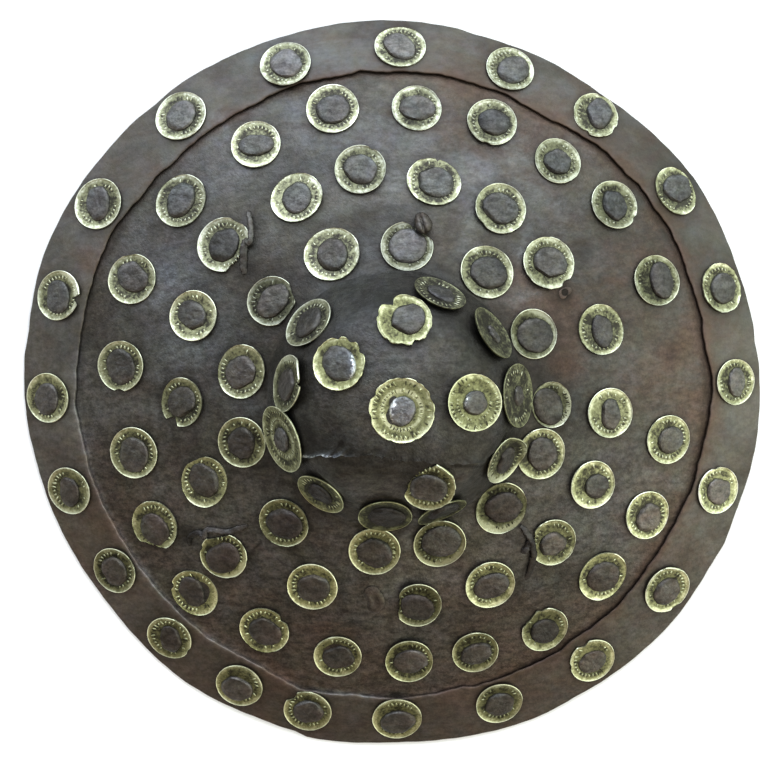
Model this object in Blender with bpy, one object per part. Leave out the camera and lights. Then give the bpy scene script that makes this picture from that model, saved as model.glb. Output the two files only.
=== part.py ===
"""A round iron buckler, lying face up.

A dished field plate is raised into a boss at its middle. A second sheet covers most of the boss, and a
flat band lies on the plate all round the rim. Old brass counters sit under the heads of hammered
rivets in rows. Behind are a hand grip across the boss and the eyes of three strap staples.
"""
import math
import random

import bpy
import bmesh
from mathutils import Matrix, Vector

# ---- driving dimensions, metres (angles in degrees, anticlockwise from +X, seen from the face) ----
MM = 0.001
TOUCH_GAP = 0.0003

MEAN_RADIUS = 0.1816            # cut edge of the shield, without its waves
EDGE_WAVES = (                  # lobes round the edge, height, where the first lobe's top lies
    (1, 0.45 * MM, -26.0),
    (2, 2.30 * MM, -25.0),
    (3, 0.50 * MM, 7.0),
    (4, 0.35 * MM, -13.0),
    (5, 0.60 * MM, 25.0),
    (7, 0.40 * MM, -12.5),
)
EDGE_SETTLES = 0.13             # the edge's waves reach this far in
EDGE_RISE = 0.0006              # the face's edge stands this far over the ground

PLATE_THICKNESS = 0.0015
BAND_THICKNESS = 0.0013
COVER_THICKNESS = 0.0012
SEAM_RADIUS = 0.1555            # inner edge of the rim band

FIELD_SLOPE = 0.30              # fall of the plate at the foot of the boss
RIM_EXTRA_SLOPE = 0.16          # how much steeper it falls at the rim

BOSS_CENTRE = Vector((0.0, -0.0045))
BOSS_FOOT = 0.0602
BOSS_FOOT_LEAN = 0.0008         # how much further out the foot lies on the upper side
BOSS_SHOULDER = 0.0450
CROWN_HEIGHT = 0.0795
CROWN_SAG = 0.0091              # from the middle of the crown to its shoulder
FLANK_START = 0.0250            # the lower side of the boss is beaten in from here
FLANK_SLOPE = 0.62
FLANK_CURVE = 11.0
COVER_CUT = 0.0230              # the cover's straight lower edge, below the boss centre
COVER_MARGIN = 0.0012           # the cover ends this far inside the foot

BOSS_RINGS = (0.024, 0.036, 0.045)
FIELD_RINGS = (0.090, 0.120, 0.150)
PLATE_SIDES = 48

COUNTER_WIDTH = 0.0252
COUNTER_THICKNESS = 0.0011
COUNTER_DISH = 0.0003           # the worn middle lies this much below the raised edge
COUNTER_LIFT = 0.0005           # a loose counter's gap over the face
HEAD_SHARE = 0.55               # rivet head's width over the counter's
HEAD_HEIGHT = 0.0024
HEAD_TAPER = 0.78               # width of a rivet head's top over its foot
SINK = 0.0008                   # how deep a fused counter is let into its plate
COUNTER_SIDES = 8

STAPLE_WIRE = 0.0017
HOLE_CLEARANCE = 0.0005
EYE_RADIUS = 0.0036
EYE_GAP = 0.0012                # between the plate's back and the eye
CLENCH_HEIGHT = 0.0052          # how far a clenched tail stands over the plate
LOST_STAPLE = Vector((0.0787, 0.0470))
LOST_STAPLE_HOLE = 0.0016

GRIP_ENDS = (Vector((-0.0097, -0.1003)), Vector((0.0128, 0.0800)))
GRIP_WIDTH = 0.021
GRIP_DEPTH = 0.0095
GRIP_DROP = 0.004               # how far the hand part hangs below its tabs
TAB_WIDTH = 0.018
TAB_DEPTH = 0.0026
TAB_START = 0.066               # from here out, a tab lies against the back of the plate
TAB_OVERHANG = 0.011            # how far a tab runs on past its fastener


def direction(turn):
    """Level unit step at an angle in radians."""
    return Vector((math.cos(turn), math.sin(turn)))


class Row:
    """One ring of counters: its radius, and where each lies round it and in or out of it."""

    def __init__(self, name, centre, radius, angles, strays):
        self.name = name
        self.centre = centre
        self.radius = radius
        self.angles = angles
        self.strays = strays

    def places(self):
        for angle, stray in zip(self.angles, self.strays):
            yield self.centre + (self.radius + stray * MM) * direction(math.radians(angle))


MIDDLE = Vector((0.0, 0.0))
RIM_ROW = Row(
    "rim", MIDDLE, 0.1678,
    (108.5, 89, 70, 53.5, 35, 17, 1, -17.5, -36.5, -54, -71.5,
     -89.5, -105, -117.5, -132, -147, -162.5, -178.5, 164.5, 148, 128),
    (-1, -1, -1.5, -1, 2, 2, 2, 1.5, 2, 1, -1.5,
     -2.5, -1, -1, -1, -3, 0, 2.5, 2.5, 2.5, 1))
SECOND_ROW = Row(
    "second", MIDDLE, 0.1356,
    (102.5, 85.5, 70, 54.5, 40, 22.5, -10.5, -26.5, -42, -58, -73,
     -87, -102, -118.5, -134.5, -150.5, -166.5, 175, 157, 138.5, 119.5),
    (2.5, 0, 1.5, 0, 3.5, 2.5, 0.5, 3, 2, 4, -0.5,
     -2.5, -2, -2, 3.5, -2, -6, -3, 1.5, 1.5, -0.5))
THIRD_ROW = Row(
    "third", MIDDLE, 0.1025,
    (117, 99, 79.5, 60, 40, 16.5, -6, -25.5, -44,
     -64, -84, -113, -136, -154.5, -177, 159.5, 139.5),
    (0, 3.5, -2, -3, -8, 0, 1, 2.5, 3,
     1.5, 1, -0.5, 12, -2, -1, -0.5, 4))
FOOT_ROW = Row(
    "foot", BOSS_CENTRE, 0.073,
    (113.5, 86, 55, 26, -1.5, -20, -45.5, -73, -98, -132.5, -165, 169, 141),
    (2, 1, 1.5, 0, 2, 1, -0.5, -0.7, -0.2, 5.5, 2.5, 1.5, 2.5))
WALL_ROW = Row(
    "wall", BOSS_CENTRE, 0.0540,
    (137.5, 69, 36.5, 3.5, -27.5, -67.5, -96, -130, -163, 169),
    (0, 0, -1, -0.5, 0, -1, -1, 0, -1, -3.5))
TOP_ROW = Row(
    "top", BOSS_CENTRE, 0.0,
    (144, 86, 3, -69.5, -45),
    (32.5, 38, 34, 39, 2))

ROW_WIDTHS = {"foot": 0.0245}    # those at the foot are small enough to lie clear of the boss
WIDE_COUNTERS = {("wall", 2): 0.0270, ("wall", 3): 0.0270, ("wall", 8): 0.0275, ("top", 4): 0.0306}
# A counter beside a staple is nipped: which way, and how far from its middle it ends.
NIPPED_COUNTERS = {
    ("foot", 1): (56, 0.0076),
    ("top", 3): (-62, 0.0100),
    ("wall", 5): (118, 0.0086),
    ("third", 8): (191, 0.0100),
    ("third", 12): (136, 0.0086),
    ("third", 16): (10, 0.0084),
}
# Staples: foot on the plate, which way the clenched tail lies, and how long it is.
STRAP_STAPLES = (
    (Vector((-0.0700, 0.0706)), 84, 0.0150),
    (Vector((0.0618, -0.0768)), -70, 0.0150),
    (Vector((-0.0918, -0.0712)), 160, 0.0110),
)


# ---- the shape of the face ----
def edge_radius(angle):
    """Cut edge of the shield at an angle in radians."""
    waves = (height * math.cos(lobes * (angle - math.radians(top))) for lobes, height, top in EDGE_WAVES)
    return MEAN_RADIUS + sum(waves)


def boss_foot(turn):
    """Radius of the boss at its foot, about its own centre."""
    return BOSS_FOOT + BOSS_FOOT_LEAN * math.sin(turn)


def field_height(x, y):
    """Height of the dished field, which ends level all round although its edge waves in and out."""
    radius = math.hypot(x, y)
    spread = edge_radius(math.atan2(y, x)) - MEAN_RADIUS
    share = (radius - EDGE_SETTLES) / (MEAN_RADIUS - EDGE_SETTLES)
    radius -= spread * min(max(share, 0.0), 1.2)
    run = MEAN_RADIUS - BOSS_FOOT
    part = max((radius - BOSS_FOOT) / run, 0.0)
    rise = FIELD_SLOPE * (MEAN_RADIUS - radius) + RIM_EXTRA_SLOPE * run / 3 * (1 - part ** 3)
    return EDGE_RISE + rise


def boss_height(x, y):
    """Height of the boss: a low crown, a steep wall, and the flank beaten in on its lower side."""
    reach = math.hypot(x - BOSS_CENTRE.x, y - BOSS_CENTRE.y)
    turn = math.atan2(y - BOSS_CENTRE.y, x - BOSS_CENTRE.x)
    foot_reach = boss_foot(turn)
    if reach <= BOSS_SHOULDER:
        height = CROWN_HEIGHT - CROWN_SAG * (reach / BOSS_SHOULDER) ** 3
    else:
        shoulder = CROWN_HEIGHT - CROWN_SAG
        foot_place = BOSS_CENTRE + foot_reach * direction(turn)
        foot = field_height(*foot_place)
        height = shoulder - (shoulder - foot) * (reach - BOSS_SHOULDER) / (foot_reach - BOSS_SHOULDER)
    below = BOSS_CENTRE.y - FLANK_START - y
    if below > 0:
        crease = CROWN_HEIGHT - CROWN_SAG * (FLANK_START / BOSS_SHOULDER) ** 3
        height = min(height, crease - FLANK_SLOPE * below - FLANK_CURVE * below ** 2)
    return height


def face_height(x, y):
    return max(field_height(x, y), boss_height(x, y))


def face_normal(x, y):
    step = 0.0008
    rise_x = face_height(x + step, y) - face_height(x - step, y)
    rise_y = face_height(x, y + step) - face_height(x, y - step)
    return Vector((-rise_x, -rise_y, 2 * step)).normalized()


def on_face(place, lift=0.0):
    """The point of the face over a place, lifted square to the face."""
    x, y = place
    return Vector((x, y, face_height(x, y))) + lift * face_normal(x, y)


# ---- building helpers ----
def new_object(name, bm, material=None):
    mesh = bpy.data.meshes.new(name)
    bm.to_mesh(mesh)
    bm.free()
    obj = bpy.data.objects.new(name, mesh)
    bpy.context.collection.objects.link(obj)
    if material:
        mesh.materials.append(material)
    return obj


def make_material(name, color, metallic, roughness):
    material = bpy.data.materials.new(name)
    material.use_nodes = True
    shader = material.node_tree.nodes["Principled BSDF"]
    shader.inputs["Base Color"].default_value = (*color, 1.0)
    shader.inputs["Metallic"].default_value = metallic
    shader.inputs["Roughness"].default_value = roughness
    material.diffuse_color = (*color, 1.0)
    return material


def ring_of(bm, points):
    return [bm.verts.new(point) for point in points]


def bridge(bm, inner, outer):
    """Faces between two closed rings of equal count, facing up when the outer one lies outside."""
    count = len(inner)
    for i in range(count):
        j = (i + 1) % count
        bm.faces.new((inner[i], outer[i], outer[j], inner[j]))


def cap_fan(bm, ring, centre):
    hub = bm.verts.new(centre)
    count = len(ring)
    for i in range(count):
        bm.faces.new((hub, ring[i], ring[(i + 1) % count]))


def thicken(obj, thickness):
    solidify = obj.modifiers.new("sheet thickness", "SOLIDIFY")
    solidify.thickness = thickness
    solidify.offset = -1.0
    solidify.use_even_offset = True


def combine(obj, tool, operation):
    tool.hide_render = True
    tool.display_type = "WIRE"
    boolean = obj.modifiers.new(operation.lower() + " " + tool.name, "BOOLEAN")
    boolean.operation = operation
    boolean.solver = "EXACT"
    boolean.object = tool


# ---- sheets ----
def make_field_plate(material):
    turns = [math.tau * i / PLATE_SIDES for i in range(PLATE_SIDES)]
    rings = [[BOSS_CENTRE + radius * direction(turn) for turn in turns] for radius in BOSS_RINGS]
    rings.append([BOSS_CENTRE + boss_foot(turn) * direction(turn) for turn in turns])
    rings += [[radius * direction(turn) for turn in turns] for radius in FIELD_RINGS]
    rings.append([edge_radius(turn) * direction(turn) for turn in turns])
    bm = bmesh.new()
    rows = [ring_of(bm, [on_face(place) for place in ring]) for ring in rings]
    cap_fan(bm, rows[0], on_face(BOSS_CENTRE))
    for inner, outer in zip(rows, rows[1:]):
        bridge(bm, inner, outer)
    plate = new_object("field_plate", bm, material)
    thicken(plate, PLATE_THICKNESS)
    return plate


def make_rim_band(material):
    lift = TOUCH_GAP + BAND_THICKNESS
    turns = [math.tau * i / PLATE_SIDES for i in range(PLATE_SIDES)]
    bm = bmesh.new()
    rows = []
    for share in (0.0, 0.5, 1.0):
        ring = []
        for turn in turns:
            radius = SEAM_RADIUS + share * (edge_radius(turn) - SEAM_RADIUS)
            ring.append(on_face(radius * direction(turn), lift))
        rows.append(ring_of(bm, ring))
    for inner, outer in zip(rows, rows[1:]):
        bridge(bm, inner, outer)
    band = new_object("rim_band", bm, material)
    thicken(band, BAND_THICKNESS)
    return band


def make_boss_cover(material):
    """Second sheet over the boss, left at the foot all round and then cut straight below the crown."""
    lift = TOUCH_GAP + COVER_THICKNESS
    turns = [math.tau * i / PLATE_SIDES for i in range(PLATE_SIDES)]
    rings = [[BOSS_CENTRE + radius * direction(turn) for turn in turns] for radius in BOSS_RINGS]
    rings.append([BOSS_CENTRE + (boss_foot(turn) - COVER_MARGIN) * direction(turn) for turn in turns])
    bm = bmesh.new()
    rows = [ring_of(bm, [on_face(place, lift) for place in ring]) for ring in rings]
    cap_fan(bm, rows[0], on_face(BOSS_CENTRE, lift))
    for inner, outer in zip(rows, rows[1:]):
        bridge(bm, inner, outer)
    cover = new_object("boss_cover", bm, material)
    thicken(cover, COVER_THICKNESS)
    cutter = bmesh.new()
    below = BOSS_CENTRE.y - COVER_CUT - 0.1
    bmesh.ops.create_cube(cutter, size=0.2, matrix=Matrix.Translation((0, below, 0.05)))
    combine(cover, new_object("cover_cut", cutter), "DIFFERENCE")
    return cover


# ---- counters and their rivets ----
def counter_solid(bm, sides, width, depth, nip, rng):
    """A dished counter with a hammered rivet head on it, reaching depth below the origin."""
    outer = []
    for i in range(sides):
        turn = math.tau * i / sides
        reach = width / 2
        if nip:
            away = math.cos(turn - math.radians(nip[0]))
            if away > 0:
                reach = min(reach, nip[1] / away)
        outer.append(reach * direction(turn))
    head = [rng.uniform(0.90, 1.08) * HEAD_SHARE * width / 2 for _ in range(sides)]
    turns = [math.tau * i / sides for i in range(sides)]
    inner = [reach * direction(turn) for reach, turn in zip(head, turns)]
    top = COUNTER_THICKNESS
    levels = (
        [(p.x, p.y, -depth) for p in outer],
        [(p.x, p.y, top) for p in outer],
        [(p.x, p.y, top - COUNTER_DISH) for p in inner],
        [(p.x * HEAD_TAPER, p.y * HEAD_TAPER, top + HEAD_HEIGHT) for p in inner],
    )
    rows = [ring_of(bm, level) for level in levels]
    bm.faces.new(tuple(reversed(rows[0])))
    for lower, upper in zip(rows, rows[1:]):
        bridge(bm, upper, lower)
    bm.faces.new(tuple(rows[-1]))


def seat(place, lift):
    """Frame whose Z stands square on the face at a place and whose X stays over the shield's +X."""
    normal = face_normal(*place)
    along = (Vector((1, 0, 0)) - normal.x * normal).normalized()
    across = normal.cross(along)
    frame = Matrix((along, across, normal)).transposed().to_4x4()
    frame.translation = on_face(place, lift)
    return frame


def counter_seat(place, lift):
    """The same for a counter whose middle, and not its foot, is to lie over the place."""
    rise = lift + COUNTER_THICKNESS / 2
    return seat(place - rise * face_normal(*place).xy, lift)


def covered(place):
    """Whether a counter on the boss rests on the cover, if only by its upper edge."""
    low_edge = BOSS_CENTRE.y - COVER_CUT - 0.2 * COUNTER_WIDTH
    return (place - BOSS_CENTRE).length < BOSS_FOOT and place.y > low_edge


def make_loose_counters(row, material):
    rng = random.Random(row.name)
    for index, place in enumerate(row.places()):
        key = (row.name, index)
        width = WIDE_COUNTERS.get(key, ROW_WIDTHS.get(row.name, COUNTER_WIDTH))
        lift = COUNTER_LIFT
        if covered(place):
            lift += TOUCH_GAP + COVER_THICKNESS
        bm = bmesh.new()
        counter_solid(bm, COUNTER_SIDES, width, 0.0, NIPPED_COUNTERS.get(key), rng)
        # On the boss and at its foot the places are those of the counters' feet.
        frame = counter_seat(place, lift) if row is THIRD_ROW else seat(place, lift)
        bmesh.ops.transform(bm, matrix=frame, verts=bm.verts)
        new_object(f"counter_{row.name}_{index + 1:02d}", bm, material)


def fuse_counters(plate, row, lift):
    """One tool that holds a whole row, joined to its plate."""
    rng = random.Random(row.name)
    together = bmesh.new()
    for place in row.places():
        bm = bmesh.new()
        counter_solid(bm, COUNTER_SIDES, COUNTER_WIDTH, SINK, None, rng)
        bmesh.ops.transform(bm, matrix=counter_seat(place, lift), verts=bm.verts)
        piece = bpy.data.meshes.new("counter")
        bm.to_mesh(piece)
        bm.free()
        together.from_mesh(piece)
        bpy.data.meshes.remove(piece)
    combine(plate, new_object(f"{row.name}_row", together), "UNION")


# ---- back of the shield ----
def swept(points, radii, sides, name, material):
    """A bar of round section along points, closed at both ends."""
    bm = bmesh.new()
    rows = []
    side_hint = Vector((0, 0, 1))
    for i, (point, radius) in enumerate(zip(points, radii)):
        before = points[max(i - 1, 0)]
        after = points[min(i + 1, len(points) - 1)]
        along = (after - before).normalized()
        across = (side_hint - side_hint.dot(along) * along).normalized()
        side_hint = across
        third = along.cross(across)
        ring = []
        for k in range(sides):
            turn = math.tau * k / sides
            ring.append(point + radius * (math.cos(turn) * across + math.sin(turn) * third))
        rows.append(ring_of(bm, ring))
    bm.faces.new(tuple(reversed(rows[0])))
    bm.faces.new(tuple(rows[-1]))
    for lower, upper in zip(rows, rows[1:]):
        bridge(bm, upper, lower)
    return new_object(name, bm, material)


def make_strap_staple(number, place, tail_angle, tail_length, material):
    """A bar bent to an eye behind the plate, put through it, and clenched over on the face."""
    frame = seat(place, 0.0)
    eye_drop = -PLATE_THICKNESS - EYE_GAP - EYE_RADIUS - STAPLE_WIRE
    points = []
    for i in range(8):
        turn = math.radians(25 - 37 * i)
        points.append(Vector((EYE_RADIUS * math.cos(turn), 0, eye_drop + EYE_RADIUS * math.sin(turn))))
    points.append(Vector((0, 0, eye_drop + EYE_RADIUS + EYE_GAP)))
    points.append(Vector((0, 0, -PLATE_THICKNESS)))
    points.append(Vector((0, 0, 0.4 * CLENCH_HEIGHT)))
    tail = direction(math.radians(tail_angle)).to_3d()
    for share, height in ((0.30, 1.0), (0.68, 0.92), (1.0, 0.54)):
        points.append(share * tail_length * tail + Vector((0, 0, height * CLENCH_HEIGHT)))
    radii = [STAPLE_WIRE] * (len(points) - 3) + [STAPLE_WIRE * 1.25, STAPLE_WIRE, STAPLE_WIRE * 0.45]
    return swept([frame @ point for point in points], radii, 6, f"strap_staple_{number}", material)


def make_grip_fastener(name, place, knob_width, knob_height, material):
    """A rivet through grip and plate, with a small head behind and a clenched knob on the face."""
    frame = seat(place, 0.0)
    back = -PLATE_THICKNESS - TOUCH_GAP - TAB_DEPTH - 2 * TOUCH_GAP
    shank = STAPLE_WIRE
    profile = (
        (0.0034, back - 0.0016),
        (0.0042, back - 0.0008),
        (0.0040, back - TOUCH_GAP),
        (shank, back - TOUCH_GAP),
        (shank, 0.0008),
        (knob_width * 0.42, 0.0014),
        (knob_width * 0.50, 0.0014 + knob_height * 0.45),
        (knob_width * 0.30, 0.0014 + knob_height),
    )
    bm = bmesh.new()
    rows = []
    for radius, height in profile:
        ring = []
        for k in range(8):
            turn = math.tau * k / 8
            ring.append(frame @ Vector((radius * math.cos(turn), radius * math.sin(turn), height)))
        rows.append(ring_of(bm, ring))
    bm.faces.new(tuple(reversed(rows[0])))
    bm.faces.new(tuple(rows[-1]))
    for lower, upper in zip(rows, rows[1:]):
        bridge(bm, upper, lower)
    return new_object(name, bm, material)


def grip_station(reach, along):
    """Centre height, half width and half depth of the grip at a distance from the boss centre."""
    tab_back = -(PLATE_THICKNESS + 2 * TOUCH_GAP + TAB_DEPTH / 2)
    if abs(reach) >= TAB_START:
        height = on_face(BOSS_CENTRE + reach * along, tab_back).z
        return height, TAB_WIDTH / 2, TAB_DEPTH / 2
    share = (1 + math.cos(math.pi * reach / TAB_START)) / 2
    fullness = min(1.0, share * 1.6)
    ends = [on_face(BOSS_CENTRE + side * TAB_START * along, tab_back).z for side in (-1, 1)]
    height = ends[0] + (ends[1] - ends[0]) * (reach + TAB_START) / (2 * TAB_START) - GRIP_DROP * fullness
    half_width = (TAB_WIDTH + (GRIP_WIDTH - TAB_WIDTH) * fullness) / 2
    half_depth = (TAB_DEPTH + (GRIP_DEPTH - TAB_DEPTH) * fullness) / 2
    return height, half_width, half_depth


def make_hand_grip(material):
    lower, upper = GRIP_ENDS
    along = (upper - lower).normalized()
    across = Vector((-along.y, along.x))
    low_end = -((lower - BOSS_CENTRE).length + TAB_OVERHANG)
    high_end = (upper - BOSS_CENTRE).length + TAB_OVERHANG
    middle = [share * TAB_START for share in (-1, -0.83, -0.6, -0.3, 0, 0.3, 0.6, 0.83, 1)]
    reaches = [low_end, (low_end - TAB_START) / 2] + middle + [high_end]
    bm = bmesh.new()
    rows = []
    for reach in reaches:
        height, half_width, half_depth = grip_station(reach, along)
        place = BOSS_CENTRE + reach * along
        ring = []
        for k in range(8):
            turn = math.tau * (k + 0.5) / 8
            spread = across * half_width * math.copysign(abs(math.cos(turn)) ** 0.6, math.cos(turn))
            drop = half_depth * math.copysign(abs(math.sin(turn)) ** 0.6, math.sin(turn))
            ring.append((place.x + spread.x, place.y + spread.y, height + drop))
        rows.append(ring_of(bm, ring))
    bm.faces.new(tuple(reversed(rows[0])))
    bm.faces.new(tuple(rows[-1]))
    for first, second in zip(rows, rows[1:]):
        bridge(bm, second, first)
    bmesh.ops.recalc_face_normals(bm, faces=bm.faces)
    return new_object("hand_grip", bm, material)


def hole_tool(name, places, radius):
    """Round cutters square to the face, one for each place."""
    bm = bmesh.new()
    for place in places:
        matrix = seat(place, 0.0)
        bmesh.ops.create_cone(bm, cap_ends=True, segments=10, radius1=radius, radius2=radius,
                              depth=0.016, matrix=matrix)
    return new_object(name, bm)


def ground_tool():
    """Everything below the surface that the shield lies on."""
    bm = bmesh.new()
    bmesh.ops.create_cube(bm, size=0.5, matrix=Matrix.Translation((0, 0, -0.25)))
    return new_object("ground", bm)


def main():
    for obj in list(bpy.data.objects):
        bpy.data.objects.remove(obj, do_unlink=True)
    iron = make_material("dark iron", (0.075, 0.062, 0.055), 0.85, 0.48)
    band_iron = make_material("band iron", (0.085, 0.064, 0.056), 0.85, 0.50)
    cover_iron = make_material("cover iron", (0.080, 0.070, 0.062), 0.85, 0.45)
    grip_iron = make_material("grip iron", (0.060, 0.050, 0.045), 0.80, 0.55)
    brass = make_material("old brass", (0.55, 0.50, 0.22), 0.90, 0.38)

    plate = make_field_plate(iron)
    band = make_rim_band(band_iron)
    cover = make_boss_cover(cover_iron)
    staple_feet = [staple[0] for staple in STRAP_STAPLES]
    combine(plate, ground_tool(), "DIFFERENCE")
    through = hole_tool("staple_holes", staple_feet + list(GRIP_ENDS), STAPLE_WIRE + HOLE_CLEARANCE)
    combine(plate, through, "DIFFERENCE")
    combine(plate, hole_tool("lost_staple_hole", [LOST_STAPLE], LOST_STAPLE_HOLE), "DIFFERENCE")
    fuse_counters(plate, SECOND_ROW, 0.0)
    fuse_counters(band, RIM_ROW, TOUCH_GAP + BAND_THICKNESS)

    for row in (TOP_ROW, WALL_ROW, FOOT_ROW, THIRD_ROW):
        make_loose_counters(row, brass)
    for number, (place, tail_angle, tail_length) in enumerate(STRAP_STAPLES, start=1):
        make_strap_staple(number, place, tail_angle, tail_length, grip_iron)
    grip = make_hand_grip(grip_iron)
    combine(grip, hole_tool("grip_holes", GRIP_ENDS, STAPLE_WIRE + HOLE_CLEARANCE), "DIFFERENCE")
    make_grip_fastener("grip_fastener_lower", GRIP_ENDS[0], 0.010, 0.0026, grip_iron)
    make_grip_fastener("grip_fastener_upper", GRIP_ENDS[1], 0.012, 0.0058, grip_iron)


main()
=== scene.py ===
"""A round iron buckler lying face up: its looks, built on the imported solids.

The face is one formula, ``face``: a shallow dish raised into a boss, with the dents and swells of hammered
iron. Each sheet is a fine skin laid on it. Each brass counter is a dished disc seated where its solid's rivet
stands, and Geometry Nodes place the hammered rivet heads and the rows of worn strokes. Metres, +Z up.
"""

import math
import random

import bpy
import numpy as np
from mathutils import Euler, Matrix, Vector


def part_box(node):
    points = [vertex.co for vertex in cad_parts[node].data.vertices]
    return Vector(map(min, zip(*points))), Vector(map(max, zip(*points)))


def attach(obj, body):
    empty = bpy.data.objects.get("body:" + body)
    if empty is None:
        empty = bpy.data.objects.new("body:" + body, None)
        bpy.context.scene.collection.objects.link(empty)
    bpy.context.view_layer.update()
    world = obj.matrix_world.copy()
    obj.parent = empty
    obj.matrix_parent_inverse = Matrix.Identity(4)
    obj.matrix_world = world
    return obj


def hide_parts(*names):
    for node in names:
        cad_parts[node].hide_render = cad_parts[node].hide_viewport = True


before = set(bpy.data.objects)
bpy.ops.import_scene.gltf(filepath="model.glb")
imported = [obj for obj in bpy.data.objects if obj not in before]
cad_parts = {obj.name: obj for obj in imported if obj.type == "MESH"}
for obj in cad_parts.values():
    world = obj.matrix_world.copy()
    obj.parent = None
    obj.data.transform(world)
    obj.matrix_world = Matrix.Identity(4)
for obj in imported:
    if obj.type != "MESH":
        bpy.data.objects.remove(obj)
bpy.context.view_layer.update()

MM = 0.001
TAU = math.tau

# ---- the face, with the solids' own sizes ----
CROWN_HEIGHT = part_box("field_plate")[1].z
MEAN_RADIUS = 0.1816
EDGE_WAVES = (                  # lobes round the edge, height, where the first lobe's top lies
    (1, 0.45 * MM, -26.0), (2, 2.30 * MM, -25.0), (3, 0.50 * MM, 7.0),
    (4, 0.35 * MM, -13.0), (5, 0.60 * MM, 25.0), (7, 0.40 * MM, -12.5),
)
EDGE_RISE = 0.6 * MM
EDGE_SETTLES = 0.13
FIELD_SLOPE = 0.30
RIM_EXTRA_SLOPE = 0.16
BOSS_CENTRE = (0.0, -0.0045)
BOSS_FOOT = 0.0602
BOSS_FOOT_LEAN = 0.8 * MM
BOSS_SHOULDER = 0.0450
CROWN_SAG = 9.1 * MM
FLANK_START = 0.0250
FLANK_SLOPE = 0.62
FLANK_CURVE = 11.0
SHOULDER_ROUND = 2.4 * MM       # how softly the crown turns into the wall
CREASE_ROUND = 1.6 * MM         # the same where the lower flank is beaten in
FOOT_FILLET = 3.2 * MM          # the same at the foot of the boss

# ---- sheets ----
PLATE_THICKNESS = 1.5 * MM
BAND_THICKNESS = 1.3 * MM
COVER_THICKNESS = 1.2 * MM
TOUCH_GAP = 0.3 * MM
SEAM_RADIUS = 0.1541
COVER_MARGIN = 1.2 * MM
CALM_RIM = (0.155, 0.180)       # the swells die out between these distances from the middle
# Swells of the hammered face: how far across, how high, and a seed.
SWELLS = ((62 * MM, 0.42 * MM, 3), (27 * MM, 0.13 * MM, 5), (11 * MM, 0.045 * MM, 8))
# Dents: place, half-width and half-length, which way it runs, and depth (negative is a bulge).
DENTS = (
    ((-0.098, 0.034), 0.009, 0.030, -52, 0.9 * MM),
    ((-0.118, 0.066), 0.010, 0.016, 60, 0.6 * MM),
    ((-0.052, 0.104), 0.012, 0.020, 10, 0.5 * MM),
    ((0.070, 0.084), 0.013, 0.018, -30, 0.5 * MM),
    ((0.112, 0.010), 0.012, 0.022, 80, 0.5 * MM),
    ((0.022, -0.090), 0.012, 0.024, 5, 0.7 * MM),
    ((-0.070, -0.104), 0.014, 0.022, -40, 0.5 * MM),
    ((-0.012, 0.018), 0.012, 0.016, 20, 0.4 * MM),
    ((0.020, 0.010), 0.007, 0.012, -60, 0.35 * MM),
    ((-0.026, -0.016), 0.006, 0.010, 30, 0.6 * MM),
    ((0.047, 0.052), 0.010, 0.008, 0, 0.8 * MM),
)


def smooth_min(a, b, softness):
    return (a + b - np.sqrt((a - b) ** 2 + softness ** 2)) / 2


def smooth_max(a, b, softness):
    return (a + b + np.sqrt((a - b) ** 2 + softness ** 2)) / 2


def fade(value, start, end):
    """0 at start, 1 at end, and smooth between."""
    t = np.clip((value - start) / (end - start), 0.0, 1.0)
    return t * t * (3 - 2 * t)


def swell(x, y, size, seed):
    """Even unevenness of about -1 to 1 whose swells are about size across."""
    rng = np.random.default_rng(seed)
    total = np.zeros(np.broadcast(x, y).shape)
    for _ in range(12):
        turn, phase, stretch = rng.uniform(0, TAU), rng.uniform(0, TAU), rng.uniform(0.75, 1.5)
        total += np.sin((x * math.cos(turn) + y * math.sin(turn)) * TAU / (size * stretch) + phase)
    return total / 3.6


def edge_radius(angle):
    waves = (height * np.cos(lobes * (angle - math.radians(top))) for lobes, height, top in EDGE_WAVES)
    return MEAN_RADIUS + sum(waves)


def field_height(x, y):
    radius = np.hypot(x, y)
    spread = edge_radius(np.arctan2(y, x)) - MEAN_RADIUS
    share = (radius - EDGE_SETTLES) / (MEAN_RADIUS - EDGE_SETTLES)
    radius = radius - spread * np.clip(share, 0.0, 1.2)
    run = MEAN_RADIUS - BOSS_FOOT
    part = np.maximum((radius - BOSS_FOOT) / run, 0.0)
    rise = FIELD_SLOPE * (MEAN_RADIUS - radius) + RIM_EXTRA_SLOPE * run / 3 * (1 - part ** 3)
    return EDGE_RISE + rise


def boss_height(x, y):
    east, north = x - BOSS_CENTRE[0], y - BOSS_CENTRE[1]
    reach = np.hypot(east, north)
    turn = np.arctan2(north, east)
    foot_reach = BOSS_FOOT + BOSS_FOOT_LEAN * np.sin(turn)
    foot_x = BOSS_CENTRE[0] + foot_reach * np.cos(turn)
    foot_y = BOSS_CENTRE[1] + foot_reach * np.sin(turn)
    foot = field_height(foot_x, foot_y)
    crown = CROWN_HEIGHT - CROWN_SAG * (reach / BOSS_SHOULDER) ** 3
    shoulder = CROWN_HEIGHT - CROWN_SAG
    wall = shoulder - (shoulder - foot) * (reach - BOSS_SHOULDER) / (foot_reach - BOSS_SHOULDER)
    below = -north - FLANK_START
    crease = CROWN_HEIGHT - CROWN_SAG * (FLANK_START / BOSS_SHOULDER) ** 3
    flank = crease - FLANK_SLOPE * below - FLANK_CURVE * np.maximum(below, 0.0) ** 2
    return smooth_min(smooth_min(crown, wall, SHOULDER_ROUND), flank, CREASE_ROUND)


def smooth_face(x, y):
    return smooth_max(field_height(x, y), boss_height(x, y), FOOT_FILLET)


def unit(vectors):
    return vectors / np.linalg.norm(vectors, axis=-1, keepdims=True)


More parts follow.
